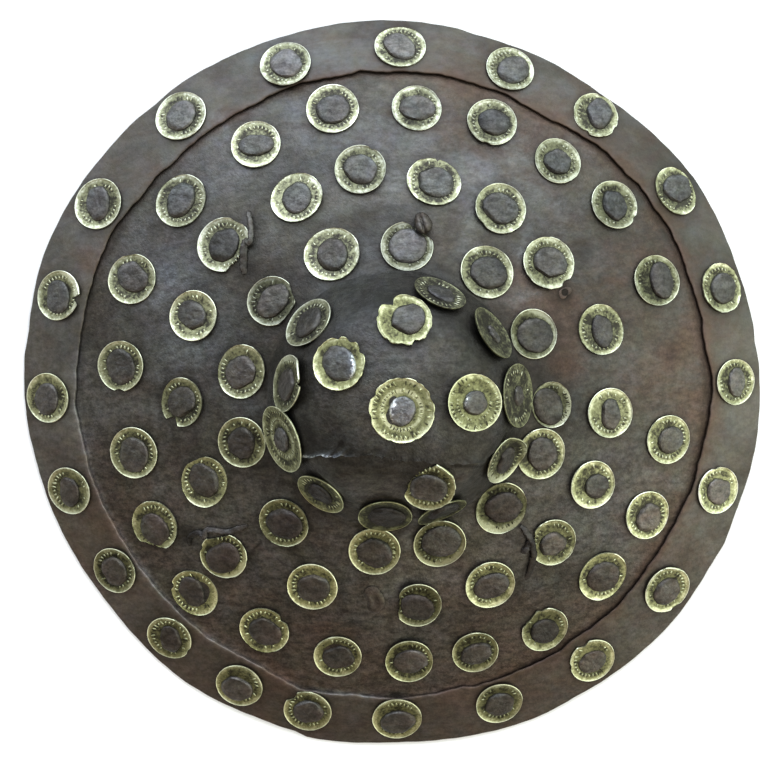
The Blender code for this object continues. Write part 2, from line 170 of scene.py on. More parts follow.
def bearing(degrees):
    """East and north of a step of one that way, anticlockwise from +X."""
    return math.cos(math.radians(degrees)), math.sin(math.radians(degrees))


def face(x, y):
    """Height of the face, with its dents and swells, which die out at the rim."""
    height = smooth_face(x, y)
    calm = 1 - fade(np.hypot(x, y), *CALM_RIM)
    for size, amount, seed in SWELLS:
        height = height + amount * calm * swell(x, y, size, seed)
    for (east, north), half_width, half_length, runs, depth in DENTS:
        cosine, sine = bearing(runs)
        u = (x - east) * cosine + (y - north) * sine
        v = (y - north) * cosine - (x - east) * sine
        height = height - depth * np.exp(-(u / half_length) ** 2 - (v / half_width) ** 2)
    return height


def face_normal(x, y):
    step = 0.5 * MM
    rise_x = (face(x + step, y) - face(x - step, y)) / (2 * step)
    rise_y = (face(x, y + step) - face(x, y - step)) / (2 * step)
    return unit(np.stack([-rise_x, -rise_y, np.ones_like(rise_x)], axis=-1))


def on_face(x, y, lift=0.0):
    """Points over places, lifted square to the face."""
    base = np.stack([x, y, face(x, y)], axis=-1)
    return base + np.asarray(lift)[..., None] * face_normal(x, y)


def upright(up, foot):
    """Frame that stands on its foot with Z along up, and whose X stays over +X."""
    along = (Vector((1, 0, 0)) - up.x * up).normalized()
    matrix = Matrix((along, up.cross(along), up)).transposed().to_4x4()
    matrix.translation = foot
    return matrix


def seat(place, lift=0.0):
    """Frame that stands square on the face at a place."""
    x, y = (np.array(float(value)) for value in place)
    return upright(Vector(face_normal(x, y)), Vector(on_face(x, y, lift)))


def carried(matrix, points):
    """Points of a frame, in the world."""
    matrix = np.array(matrix)
    return points @ matrix[:3, :3].T + matrix[:3, 3]


# ---- node trees ----
class Wire:
    """One output in a node tree; a sum written with it adds the node that works it out."""

    def __init__(self, net, socket):
        self.net, self.socket = net, socket

    def sibling(self, name):
        """Another output of the same node."""
        return Wire(self.net, self.socket.node.outputs[name])

    def __add__(self, other):
        return self.net.sums("ADD", self, other)

    def __sub__(self, other):
        return self.net.sums("SUBTRACT", self, other)

    def __rsub__(self, other):
        return self.net.sums("SUBTRACT", other, self)

    def __mul__(self, other):
        return self.net.sums("MULTIPLY", self, other)

    def __truediv__(self, other):
        return self.net.sums("DIVIDE", self, other)

    def eased(self, low, high, start=0.0, end=1.0):
        """Runs smoothly from start at low to end at high, and no further."""
        sockets = {"Value": self, "From Min": low, "From Max": high, "To Min": start, "To Max": end}
        return self.net.put("ShaderNodeMapRange", sockets, interpolation_type="SMOOTHSTEP")


class Net:
    """A node tree being wired up."""

    def __init__(self, tree):
        self.tree = tree

    def plug(self, value, socket):
        if isinstance(value, Wire):
            self.tree.links.new(value.socket, socket)
        else:
            socket.default_value = value

    def put(self, kind, sockets=None, result=None, **settings):
        """Adds a node with its settings and a value or wire for each named socket; hands on its output."""
        node = self.tree.nodes.new(kind)
        for key, value in settings.items():
            setattr(node, key, value)
        for key, value in (sockets or {}).items():
            self.plug(value, next(s for s in node.inputs if s.name == key and s.enabled))
        return Wire(self, next(s for s in node.outputs if s.enabled and result in (None, s.name)))

    def sums(self, operation, *values, kind="ShaderNodeMath"):
        node = self.tree.nodes.new(kind)
        node.operation = operation
        for value, socket in zip(values, [s for s in node.inputs if s.enabled]):
            self.plug(value, socket)
        return Wire(self, next(s for s in node.outputs if s.enabled))

    def vector_sums(self, operation, *values):
        return self.sums(operation, *values, kind="ShaderNodeVectorMath")

    def noise(self, where, scale, detail=4.0, rough=0.55, warp=0.0):
        sockets = {"Vector": where, "Scale": scale, "Detail": detail, "Roughness": rough, "Distortion": warp}
        return self.put("ShaderNodeTexNoise", sockets, result="Fac")

    def blend(self, share, first, second, mode="MIX"):
        first, second = ((*colour, 1) if isinstance(colour, tuple) else colour for colour in (first, second))
        sockets = {"Factor": share, "A": first, "B": second}
        return self.put("ShaderNodeMix", sockets, data_type="RGBA", blend_type=mode)


# ---- finishes ----
class Finish(Net):
    """A material, wired up from places on the mesh and values kept on its points."""

    def __init__(self, name):
        self.material = bpy.data.materials.new(name)
        self.material.use_nodes = True
        super().__init__(self.material.node_tree)
        self.shader = self.tree.nodes["Principled BSDF"].inputs
        self.where = self.put("ShaderNodeTexCoord", result="Object")

    def painted(self, name):
        return self.put("ShaderNodeAttribute", result="Fac", attribute_name=name)

    def bump(self, height, depth, under=None):
        sockets = {"Height": height, "Distance": depth, "Strength": 1.0}
        if under:
            sockets["Normal"] = under
        normal = self.put("ShaderNodeBump", sockets)
        self.plug(normal, self.shader["Normal"])
        return normal

    def look(self, colour, rough, metallic=0.0):
        for value, socket in ((colour, "Base Color"), (rough, "Roughness"), (metallic, "Metallic")):
            self.plug(value, self.shader[socket])


# Colours painted into the iron: painted sheen, painted glint, rust, and dirt with painted shade.
SHEEN_GREY = (0.128, 0.132, 0.136)
BARE_METAL_GLINT = (0.66, 0.67, 0.67)
RUST_BROWN = (0.094, 0.063, 0.048)
GRIME_AND_SHADE_BLACK = (0.011, 0.009, 0.007)
HUE_DRIFTS = (("Red", 60.0, 0.42), ("Blue", 85.0, -0.62))      # scale of the clouds, and how strong they are
BRASS_HOLLOW = (0.040, 0.038, 0.025)
BRASS_STEPS = (                 # from and up to how raised a spot is, and the colour that it turns to
    (-0.10, 0.50, (0.225, 0.230, 0.116)), (0.45, 1.10, (0.600, 0.618, 0.400)),
    (1.25, 1.70, (0.900, 0.920, 0.680)),
)


def iron_finish(name, dark, light, sheen_share, rust_share, rough, grainy):
    """Old hammered iron: brown-grey and cloudy, with a paler grey sheen painted where it is rubbed and where
    highlights are painted, near-white painted glints where that sheen runs high, and red rust in places.
    """
    net = Finish(name)
    streaked = net.put("ShaderNodeMapping", {"Vector": net.where, "Scale": (0.6, 1.0, 1.0)})
    grain = net.noise(streaked, 360.0, 5.0, 0.65)
    fine = net.noise(net.where, 800.0, 4.0, 0.7)
    spread = net.noise(streaked, 72.0, 7.0, 0.62, 0.8)
    colour = net.blend(net.noise(streaked, 30.0, 6.0, 0.6, 0.4).eased(0.34, 0.68), dark, light)

    # Painted sheen: the colour turns paler and blue-grey by noise and by the painted sheen attribute.
    sheen = net.noise(net.where, 41.0, 5.0, 0.6, 0.6).eased(0.42, 0.66) * sheen_share + net.painted("sheen")
    sheen = sheen * grain.eased(0.30, 0.62, 0.8, 1.0)
    colour = net.blend(net.sums("MINIMUM", sheen, 1.0), colour, SHEEN_GREY)
    # Painted glint: where the sheen runs past 1 the colour turns to near-white metal.
    colour = net.blend((sheen + (fine - 0.5) * 1.4).eased(1.05, 1.5), colour, BARE_METAL_GLINT)
    rust = net.painted("rust") * 0.34 + rust_share + (spread - 0.5) * 0.7
    colour = net.blend(rust.eased(0.0, 0.42, 0.0, 0.85), colour, RUST_BROWN)

    shade, grit = net.painted("tone"), net.painted("grit")
    for noise, depth in ((grain, 0.24 * grainy), (fine, 0.16 * grainy)):
        shade = shade * (noise.eased(0.28, 0.72, -depth, 0.85 * depth) * grit + 1.0)
    hues = {"Green": shade}
    for channel, scale, amount in HUE_DRIFTS:
        hues[channel] = shade * ((net.noise(net.where, scale, 9.0, 0.72, 0.6) - 0.5) * amount + 1.0)
    colour = net.blend(1.0, colour, net.put("ShaderNodeCombineColor", hues), "MULTIPLY")
    # Dirt and painted shade, kept in one attribute, darken the colour towards black.
    colour = net.blend(net.painted("grime"), colour, GRIME_AND_SHADE_BLACK)

    net.look(colour, spread.eased(0.3, 0.7, rough - 0.07, rough + 0.09) + sheen * -0.08, 0.85)
    coarse = net.bump(net.noise(net.where, 170.0, 4.0, 0.6), 0.16 * grainy * MM)
    net.bump(net.noise(net.where, 900.0, 3.0, 0.6).eased(0.30, 0.60), 0.05 * grainy * MM, coarse)
    return net.material


def brass_finish(name):
    """Worn yellow brass: pale on what stands up, olive and dark in the hollows round the rivet."""
    net = Finish(name)
    cloud = net.noise(net.where, 170.0, 5.0, 0.6, 0.5)
    grain = net.noise(net.where, 760.0, 4.0, 0.6, 0.4)
    level = net.painted("raised") + net.painted("worn") + (cloud - 0.5) * 1.6 + (grain - 0.5) * 1.3
    colour = BRASS_HOLLOW
    for low, high, paler in BRASS_STEPS:
        colour = net.blend(level.eased(low, high), colour, paler)
    tone = net.painted("tone")
    tint = net.put("ShaderNodeCombineColor", {"Red": tone, "Green": tone, "Blue": tone * net.painted("cool")})
    net.look(net.blend(1.0, colour, tint, "MULTIPLY"), level.eased(0.1, 0.9, 0.55, 0.36), 0.90)
    net.bump(grain, 0.12 * MM, net.bump(cloud, 0.22 * MM))
    return net.material


# Each iron: its dark and its light, how much sheen and rust, how rough and how grainy.
FIELD_IRON = iron_finish("field iron", (0.049, 0.044, 0.037), (0.085, 0.079, 0.067), 0.28, 0.00, 0.50, 1.35)
BAND_IRON = iron_finish("band iron", (0.064, 0.057, 0.048), (0.106, 0.099, 0.085), 0.22, 0.02, 0.50, 0.75)
COVER_IRON = iron_finish("cover iron", (0.028, 0.025, 0.021), (0.047, 0.044, 0.038), 0.14, -0.03, 0.48, 1.4)
RIVET_IRON = iron_finish("rivet iron", (0.050, 0.044, 0.037), (0.092, 0.086, 0.075), 0.26, -0.02, 0.46, 1.5)
GRIP_IRON = iron_finish("grip iron", (0.026, 0.023, 0.020), (0.054, 0.048, 0.042), 0.40, -0.06, 0.46, 1.4)
BRASS = brass_finish("old brass")
STROKE_BRASS = brass_finish("worn strokes")


# ---- meshes ----
def link(name, data):
    """Puts an object into the scene, at the origin."""
    new = bpy.data.objects.new(name, data)
    bpy.context.scene.collection.objects.link(new)
    return new


def finished(name, mesh, material, replaces=(), sharp=35):
    """Makes a mesh a piece: shaded, finished, riding on the shield and standing for its solids."""
    mesh.materials.clear()
    mesh.materials.append(material)
    mesh.shade_smooth()
    mesh.set_sharp_from_angle(angle=math.radians(sharp))
    piece = link(name, mesh)
    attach(piece, "root")
    if replaces:
        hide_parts(*replaces)


def mesh_of(name, points, edges=(), faces=()):
    mesh = bpy.data.meshes.new(name)
    mesh.from_pydata(np.array(points).tolist(), edges, faces)
    mesh.update()
    return mesh


def skin_points(rings):
    """The points of a skin's rings, and then a hub in the middle of the first and of the last ring."""
    return np.vstack([rings.reshape(-1, 3), rings[0].mean(axis=0), rings[-1].mean(axis=0)])


def skin_faces(rings, sides, closed=False, start=0):
    """Quads between rings of points, from start on; unless they close on themselves, both ends are filled."""
    faces = []
    for i in range(rings if closed else rings - 1):
        low, high = start + i * sides, start + (i + 1) % rings * sides
        faces += [(low + j, high + j, high + (j + 1) % sides, low + (j + 1) % sides) for j in range(sides)]
    if not closed:
        hub = start + rings * sides
        last = hub - sides
        for j in range(sides):
            k = (j + 1) % sides
            faces += [(hub, start + j, start + k), (hub + 1, last + k, last + j)]
    return faces


def shell_mesh(name, rings, closed=False):
    """A closed body from rings that run out over its top, round its edge and back below."""
    count, sides, _ = rings.shape
    points = rings.reshape(-1, 3) if closed else skin_points(rings)
    return mesh_of(name, points, faces=skin_faces(count, sides, closed))


def store(mesh, name, kind, values):
    """Keeps values on the mesh's points."""
    layer = mesh.attributes.new(name, kind, "POINT")
    key = "vector" if kind == "FLOAT_VECTOR" else "value"
    layer.data.foreach_set(key, np.asarray(values, np.float32).ravel())


def stored(mesh, name):
    values = np.zeros(len(mesh.vertices), np.float32)
    mesh.attributes[name].data.foreach_get("value", values)
    return values


def paint(mesh, **values):
    """Keeps values on the mesh's points for its finish to read; a single number is the same for all."""
    for name, value in values.items():
        store(mesh, name, "FLOAT", np.full(len(mesh.vertices), value, np.float32))


# Its dark attribute carries dirt together with painted shade.
def paint_iron(mesh, sheen=0.0, rust=0.0, grime=0.0, tone=1.0, grit=1.0):
    """What every iron finish reads."""
    paint(mesh, sheen=sheen, rust=rust, grime=grime, tone=tone, grit=grit)


def paint_brass(mesh, raised, looks):
    """What the brass finish reads."""
    worn, tone, cool = np.array(looks).T
    paint(mesh, raised=raised, worn=worn, tone=tone, cool=cool)


def points_of(mesh):
    points = np.zeros(len(mesh.vertices) * 3, np.float32)
    mesh.vertices.foreach_get("co", points)
    return points.reshape(-1, 3).astype(float)


def all_round(sides):
    return np.arange(sides) * TAU / sides


# ---- where the rivets stand ----
EIGHTHS = np.arange(8) * 45.0   # bearings, eastwards first and then anticlockwise
SOLID_HEAD_HEIGHT = 2.4 * MM
FUSED_TOP = 0.8 * MM            # how deep a head's top reaches where it is fused on, and where it is loose
LOOSE_TOP = 0.5 * MM
RIVET_PITCH = 13 * MM           # tops closer than this are of one head
ROW_START = 118                 # bearing where the count of a row begins


def solid_points(node):
    return np.unique(np.round(points_of(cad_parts[node].data), 6), axis=0)


def fused_rivets(node):
    """Where the rivets of a fused row stand: under the heads' tops, which are highest over the face."""
    points = solid_points(node)
    normals = face_normal(points[:, 0], points[:, 1])
    lifts = (points[:, 2] - smooth_face(points[:, 0], points[:, 1])) * normals[:, 2]
    groups = []
    for top in points[lifts > lifts.max() - FUSED_TOP]:
        near = [group for group in groups if np.linalg.norm(group[0] - top) < RIVET_PITCH]
        if near:
            near[0].append(top)
        else:
            groups.append([top])
    spots = [np.mean(group, axis=0) for group in groups]
    spots.sort(key=lambda spot: (ROW_START - math.degrees(math.atan2(spot[1], spot[0]))) % 360)
    return [(spot, face_normal(spot[0], spot[1])) for spot in spots]


def loose_rivet(node):
    """The same for a counter that is a solid of its own, which also gives the way it faces."""
    points = solid_points(node)
    up = np.linalg.svd(points - points.mean(axis=0))[2][2]
    up = up * np.sign(up[2])
    heights = points @ up
    return points[heights > heights.max() - LOOSE_TOP].mean(axis=0), up


ROW_SIZES = {"third": 17, "foot": 13, "wall": 10, "top": 5}
ROW_RIVETS = {"rim": fused_rivets("rim_band"), "second": fused_rivets("field_plate")}
for row, count in ROW_SIZES.items():
    ROW_RIVETS[row] = [loose_rivet(f"counter_{row}_{i + 1:02d}") for i in range(count)]


# ---- the counters' own sizes, by row and order, clockwise from the top ----
ROW_WIDTHS = {                  # millimetres
    "rim": (25, 25, 24, 23.5, 25, 25, 23, 24, 25, 24, 24, 25, 24, 24, 23.5, 23.5, 24, 24.5, 24.5, 25.5, 26),
    "second": (25.5, 24, 24.5, 23.5, 24.5, 25, 24, 24, 26, 24, 23,
               23.5, 23.5, 25, 25, 25, 25, 24.5, 24.5, 26.5, 24),
    "third": (25.5, 24.5, 26, 25, 25.5, 24.5, 24, 23.5, 23.5, 24.5, 23, 24.5, 23.5, 25.5, 23.5, 24, 26.5),
    "foot": (26.5, 24.5, 25.5, 23.5, 22, 24.5, 26, 25, 24.5, 24.5, 24, 25.5, 23.5),
    "wall": (25.5, 25, 26.5, 29.5, 24.5, 24, 25, 24.5, 32, 26),
    "top": (24, 24.5, 25.5, 24.5, 29),
}
# Rivet heads: share of the counter's width, breadth over length, and which way the length runs in degrees.
ROW_HEADS = {
    "rim": ((0.60, 0.88, -50), (0.61, 0.74, -40), (0.64, 0.82, 38), (0.62, 0.78, 80), (0.60, 0.86, 30),
            (0.56, 0.92, 60), (0.56, 0.68, 90), (0.52, 0.95, 0), (0.54, 0.90, 40), (0.54, 0.80, 20),
            (0.56, 0.88, 0), (0.62, 0.78, 5), (0.57, 0.85, 0), (0.59, 0.85, -15), (0.56, 0.78, 100),
            (0.57, 0.90, 110), (0.56, 0.72, 95), (0.57, 0.83, 80), (0.62, 0.78, 100), (0.62, 0.70, 95),
            (0.56, 0.90, 60)),
    "second": ((0.58, 0.90, 20), (0.64, 0.73, 0), (0.56, 0.88, -10), (0.52, 0.95, 0), (0.58, 0.82, 110),
               (0.64, 0.70, 100), (0.52, 0.90, 30), (0.54, 0.90, 60), (0.59, 0.88, 10), (0.54, 0.90, -20),
               (0.62, 0.70, 15), (0.64, 0.76, 0), (0.59, 0.82, 0), (0.59, 0.85, -25), (0.57, 0.82, -60),
               (0.59, 0.85, -50), (0.61, 0.88, 90), (0.64, 0.82, -70), (0.60, 0.85, -40), (0.60, 0.74, 65),
               (0.64, 0.62, 0)),
    "third": ((0.55, 0.85, 80), (0.59, 0.88, -30), (0.60, 0.86, -20), (0.62, 0.88, -10), (0.58, 0.92, -15),
              (0.58, 0.65, 100), (0.55, 0.70, 90), (0.47, 0.95, 0), (0.52, 0.87, 20), (0.64, 0.72, 15),
              (0.66, 0.78, -25), (0.60, 0.86, 15), (0.66, 0.86, 36), (0.60, 0.82, -55), (0.58, 0.90, 45),
              (0.56, 0.85, -45), (0.57, 0.82, 60)),
    "foot": ((0.53, 0.90, 90), (0.64, 0.94, 25), (0.62, 0.86, 0), (0.68, 0.88, 0), (0.72, 0.80, -60),
             (0.60, 0.88, 120), (0.64, 0.80, 0), (0.66, 0.86, 0), (0.62, 0.88, -20), (0.64, 0.84, -15),
             (0.56, 0.90, 90), (0.55, 0.92, 70), (0.68, 0.74, 44)),
    "wall": ((0.55, 0.85, 50), (0.50, 0.80, -25), (0.30, 0.60, -45), (0.28, 0.80, 90), (0.50, 0.80, 60),
             (0.56, 0.80, 0), (0.64, 0.80, -15), (0.48, 0.85, -35), (0.34, 0.85, 70), (0.50, 0.90, 75)),
    "top": ((0.62, 0.84, -50), (0.56, 0.90, 45), (0.40, 0.90, 20), (0.62, 0.82, 0), (0.40, 0.87, 70)),
}
# How far each has slipped towards the middle, in millimetres, beside the boss and on its wall.
ROW_SLIPS = {
    "foot": (0.5, 1.8, 0.9, 1.5, 1.9, 1.4, 1.8, 2.0, 1.5, 0.5, 1.1, 1.3, 1.1),
    "wall": (1.8, 2.4, 1.3, 0.4, 0.0, 0.2, 1.5, 0.9, 0.6, 2.4),
}


# ---- what has happened to single counters since ----
# Bearings are in degrees and lengths in millimetres. nicks: where, half-width in degrees, depth. cuts: where,
# distance from the middle. folds: where, distance from the middle, degrees up. oval: which way it is
# narrower, by what. ragged: how worn its edge is. lean: towards, degrees. moved: east, north, up. head_at:
# how far its head sits off the middle. rings: of strokes, by share of the radius; or grooves. plain: no stroke
# is left. relief: how much its edge stands out. worn: how much paler its brass is. lit: which side of it has
# a painted highlight, and how strong. shine: painted sheen on the head. glint: painted glint on one side of
# the head.
TRAITS = {
    "rim": {
        1: dict(oval=(89, 0.93)),
        2: dict(head_at=(1.2, 0)),
        3: dict(nicks=((-121, 10, 1.4), (-35, 10, 0.8), (75, 10, 0.8)), ragged=0.4, head_at=(1.0, 1.0)),
        4: dict(oval=(30, 0.86), head_at=(0.8, 2.0)),
        5: dict(oval=(14, 0.90), ragged=0.3),
        7: dict(nicks=((100, 9, 0.8),)),
        8: dict(nicks=((-60, 14, 1.0),), folds=((75, 10.9, 50),), ragged=0.3),
        9: dict(nicks=((118, 14, 2.6), (190, 8, 0.8))),
        11: dict(head_at=(0, -1.6)),
        12: dict(nicks=((133, 16, 2.4),)),
        13: dict(head_at=(-1.6, -1.0)),
        14: dict(nicks=((-30, 10, 0.8),)),
        18: dict(nicks=((-12, 9, 4.6),), folds=((15, 11.0, 55),), lit=(18, 0.6)),
    },
    "second": {
        2: dict(nicks=((-105, 9, 1.0),)),
        4: dict(nicks=((-30, 8, 0.9),)),
        5: dict(head_at=(2.0, 0.8)),
        8: dict(oval=(-45, 0.90)),
        9: dict(nicks=((140, 24, 2.2), (100, 12, 1.0)), ragged=0.3),
        13: dict(nicks=((35, 11, 1.8),), oval=(-115, 0.93)),
        14: dict(nicks=((165, 9, 1.2),), oval=(-140, 0.87), head_at=(-1.8, 1.0), lit=(-30, 0.3)),
        15: dict(cuts=((-100, 10.0),), oval=(-160, 0.93), head_at=(0, -1.6)),
        17: dict(nicks=((-92, 12, 1.3),)),
        18: dict(nicks=((95, 16, 0.7),), head_at=(0.3, 1.4)),
        19: dict(oval=(150, 0.92)),
    },
    "third": {
        0: dict(oval=(125, 0.91)),
        1: dict(nicks=((62, 9, 1.0),)),
        2: dict(nicks=((80, 5, 1.2),), oval=(70, 0.90)),
        3: dict(nicks=((-140, 12, 0.8),)),
        4: dict(nicks=((-48, 12, 1.5),), ragged=0.3),
        5: dict(oval=(20, 0.94)),
        7: dict(head_at=(1.2, -0.6)),
        8: dict(cuts=((178, 9.4),), ragged=0.3, head_at=(-0.8, -0.6)),
        10: dict(cuts=((178, 8.9),), head_at=(-0.6, -0.4)),
        12: dict(nicks=((105, 30, 2.6), (165, 10, 1.0)), ragged=0.3, head_at=(-1.0, -0.2), lit=(-50, 0.4)),
        13: dict(oval=(-20, 0.88), nicks=((110, 22, 0.9),), head_at=(0, 1.4)),
        14: dict(nicks=((-118, 15, 4.2),), oval=(0, 0.92), lean=(180, 5)),
        16: dict(cuts=((-42, 9.4),), nicks=((60, 14, 0.8),), ragged=0.2, head_at=(-0.2, 0.8)),
    },
    "foot": {
        0: dict(oval=(110, 0.94)),
        1: dict(cuts=((56, 9.4),)),
        3: dict(plain=True, head_at=(0.2, -0.4), lit=(40, 0.4)),
        4: dict(oval=(0, 0.90), head_at=(-2.0, -0.9), lit=(-10, 0.9)),
        6: dict(oval=(-45, 0.94), head_at=(0.4, 1.8), lit=(-90, 0.6)),
        7: dict(lean=(90, -4), head_at=(0, 2.2), lit=(-70, 0.4)),
        9: dict(oval=(-130, 0.94)),
        11: dict(oval=(160, 0.90)),
        12: dict(nicks=((-40, 26, 1.3), (20, 20, 1.2)), ragged=0.2, head_at=(0.8, -0.4)),
    },
    "wall": {
        0: dict(lean=(-52, 6), worn=-0.12, nicks=((48, 14, -1.6),)),
        1: dict(lean=(66, 3), relief=0.3, worn=-0.05),
        2: dict(lean=(30, 4), relief=0.3, worn=-0.05, plain=True),
        3: dict(lean=(180, 4), relief=0.3, worn=-0.05),
        4: dict(folds=((20, 6.0, 30),), ragged=0.3, lean=(150, 10), worn=-0.15, lit=(-120, 0.7)),
        5: dict(lean=(-70, 3), relief=0.4, worn=-0.15, plain=True),
        6: dict(lean=(90, 2), relief=0.5, worn=-0.15, plain=True),
        7: dict(lean=(55, 8), relief=0.7, worn=-0.10),
        8: dict(rings=(0.56, 0.80), lean=(14, 3), worn=-0.12),
        9: dict(folds=((11, 10.5, 35),), worn=-0.05, nicks=((-14, 5, 5.2),), lit=(40, 0.55)),
    },
    "top": {
        0: dict(nicks=((62, 10, 1.8), (95, 10, 1.2), (30, 12, 1.2)), ragged=0.5, shine=0.15,
                glint=(-5, 1.3), worn=0.05, moved=(0.8, -0.6, 0), plain=True),
        1: dict(nicks=((125, 16, 3.0), (-62, 14, 1.6), (-100, 14, 1.4)), ragged=0.8, worn=0.1,
                moved=(0, -1.1, 0), head_at=(1.4, 0.4), plain=True),
        2: dict(grooves=True, rings=(0.62, 0.86), shine=0.3, glint=(160, 0.9), moved=(-1.3, 0, 0),
                head_at=(0, 0.8)),
        3: dict(cuts=((130, 7.2), (165, 8.6)), ragged=0.5, worn=0.05, lean=(110, 16),
                folds=((52, 10.6, 40),), moved=(0, 1.2, 1.0)),
        4: dict(rings=(0.60, 0.83), nicks=((150, 8, 0.8), (195, 10, 0.8), (20, 12, 1.0)), shine=0.5,
                glint=(170, 0.9), ragged=0.7, worn=0.1),
    },
}

# Which counters are duller or paler than the common one, by row and order, and the same for their heads.
GRADES = {"dull": 0.42, "dim": 0.62, "dark": 0.80, "pale": 1.18, "bright": 1.42}
BRASS_GRADES = {
    "dull": {"third": (10,), "foot": (1, 3, 4, 6, 7, 12)},
    "dim": {"rim": (10, 15), "second": (3, 4, 5, 9, 10), "foot": (9,), "wall": (5, 6, 9)},
    "dark": {"rim": (2, 11, 12, 13, 14, 16), "second": (1, 2, 11, 12), "third": (1, 4, 8, 12, 14),
             "foot": (2, 8, 10), "wall": (0, 4, 7, 8), "top": (1, 2, 3)},
    "pale": {"rim": (1, 4, 5, 6, 17, 19, 20), "second": (6, 8, 13, 14), "third": (2, 7, 11, 13), "top": (0,)},
    "bright": {"rim": (7,), "second": (0, 7, 20), "third": (0, 15), "foot": (0,)},
}
HEAD_GRADES = {
    "dull": {"second": (9,), "wall": (5, 6, 7)},
    "dim": {"second": (2, 3, 4, 12), "third": (10, 16), "foot": (2, 6, 9), "wall": (0,)},
    "dark": {"rim": (3, 10, 14, 15, 18), "second": (0, 5, 8, 10, 14, 17, 19),
             "third": (2, 3, 5, 7, 9, 12, 13, 14), "foot": (0, 3, 4, 7, 8, 10), "wall": (1, 4, 9)},
    "pale": {"rim": (1, 5, 8, 9, 13, 20), "second": (6, 16), "third": (6, 8), "foot": (11,), "top": (3,)},
    "bright": {"rim": (0, 6, 7), "second": (7,), "wall": (2, 3), "top": (4,)},
}
BRASS_REFLECTED_COOLS = (1.10, 1.15, 1.24, 1.24, 1.08, 0.96, 0.93, 1.00)     # how blue it is, the same way: a painted tint of cool reflected light, strongest in the north
CROWN_COOL = 0.95               # and on the crown
COUNTER_THICKNESS = 0.75 * MM
COUNTER_DISH = 0.85 * MM        # how far the edge stands over the pinned middle
COUNTER_SIDES = 72
STROKE_RING = 0.745             # where the row of strokes runs, as a share of the radius
HEAD_HEIGHT = 2.9 * MM
HEAD_SHIFT = (0.5, 0.3, -0.4)   # how far off the middle heads sit: outwards, east and north, in millimetres
# Profile of a counter from under its rivet out over the top, round the edge and back below:
# share of the radius, height over the dish, how raised it looks.
COUNTER_PROFILE = (
    (0.20, 0.0, 0.26), (0.30, 0.0, 0.26), (0.40, 0.0, 0.27), (0.50, 0.0, 0.28), (0.57, 0.0, 0.26),
    (0.62, 0.01, 0.21), (0.68, 0.02, 0.18), (0.74, 0.02, 0.20), (0.80, 0.0, 0.30), (0.86, 0.0, 0.56),
    (0.905, 0.0, 0.68), (0.94, -0.02, 0.70), (0.962, 0.10, 0.85), (0.982, 0.17, 1.20), (1.0, 0.02, 1.20),
    (1.0, -0.50, 0.75), (0.975, -0.75, 0.20), (0.80, -0.75, 0.10), (0.55, -0.75, 0.0), (0.20, -0.75, 0.0),
)
GAP_LEVEL = 0.02                # how raised the dirt between two strokes looks
FAINT_SHARE = 0.30              # strokes left where the row is nearly worn away
RING_GLOW = 0.90                # how much a beaded inner ring stands out
EDGE_TONE = 0.90                # however dull a counter is, its edge is at least this pale
SOUTH_EDGE_HIGHLIGHT = 0.45               # painted highlight: how much paler the edges of the southern counters are
HEAD_DIRT_AND_SHADE = (0.12, 0.05)        # how dark the dirt and painted shade on the brass close to the head are, and over what share they clear
COMMON_TRAITS = {
    "oval": (0, 1.0), "nicks": (), "cuts": (), "folds": (), "grooves": False, "plain": False,
    "rings": (STROKE_RING,), "ragged": 0.10, "head_at": (0, 0), "lit": (0, 0.0), "relief": 1.0,
    "glint": (0, 0.0), "moved": (0, 0, 0),
}
BEND = 1.2 * MM                 # how tight a fold is
GROOVE_PITCH = 0.9 * MM
GUIDE_POINTS = 48


def graded(grades, row, index):
    for word, rows in grades.items():
        if index in rows.get(row, ()):
            return GRADES[word]
    return 1.0


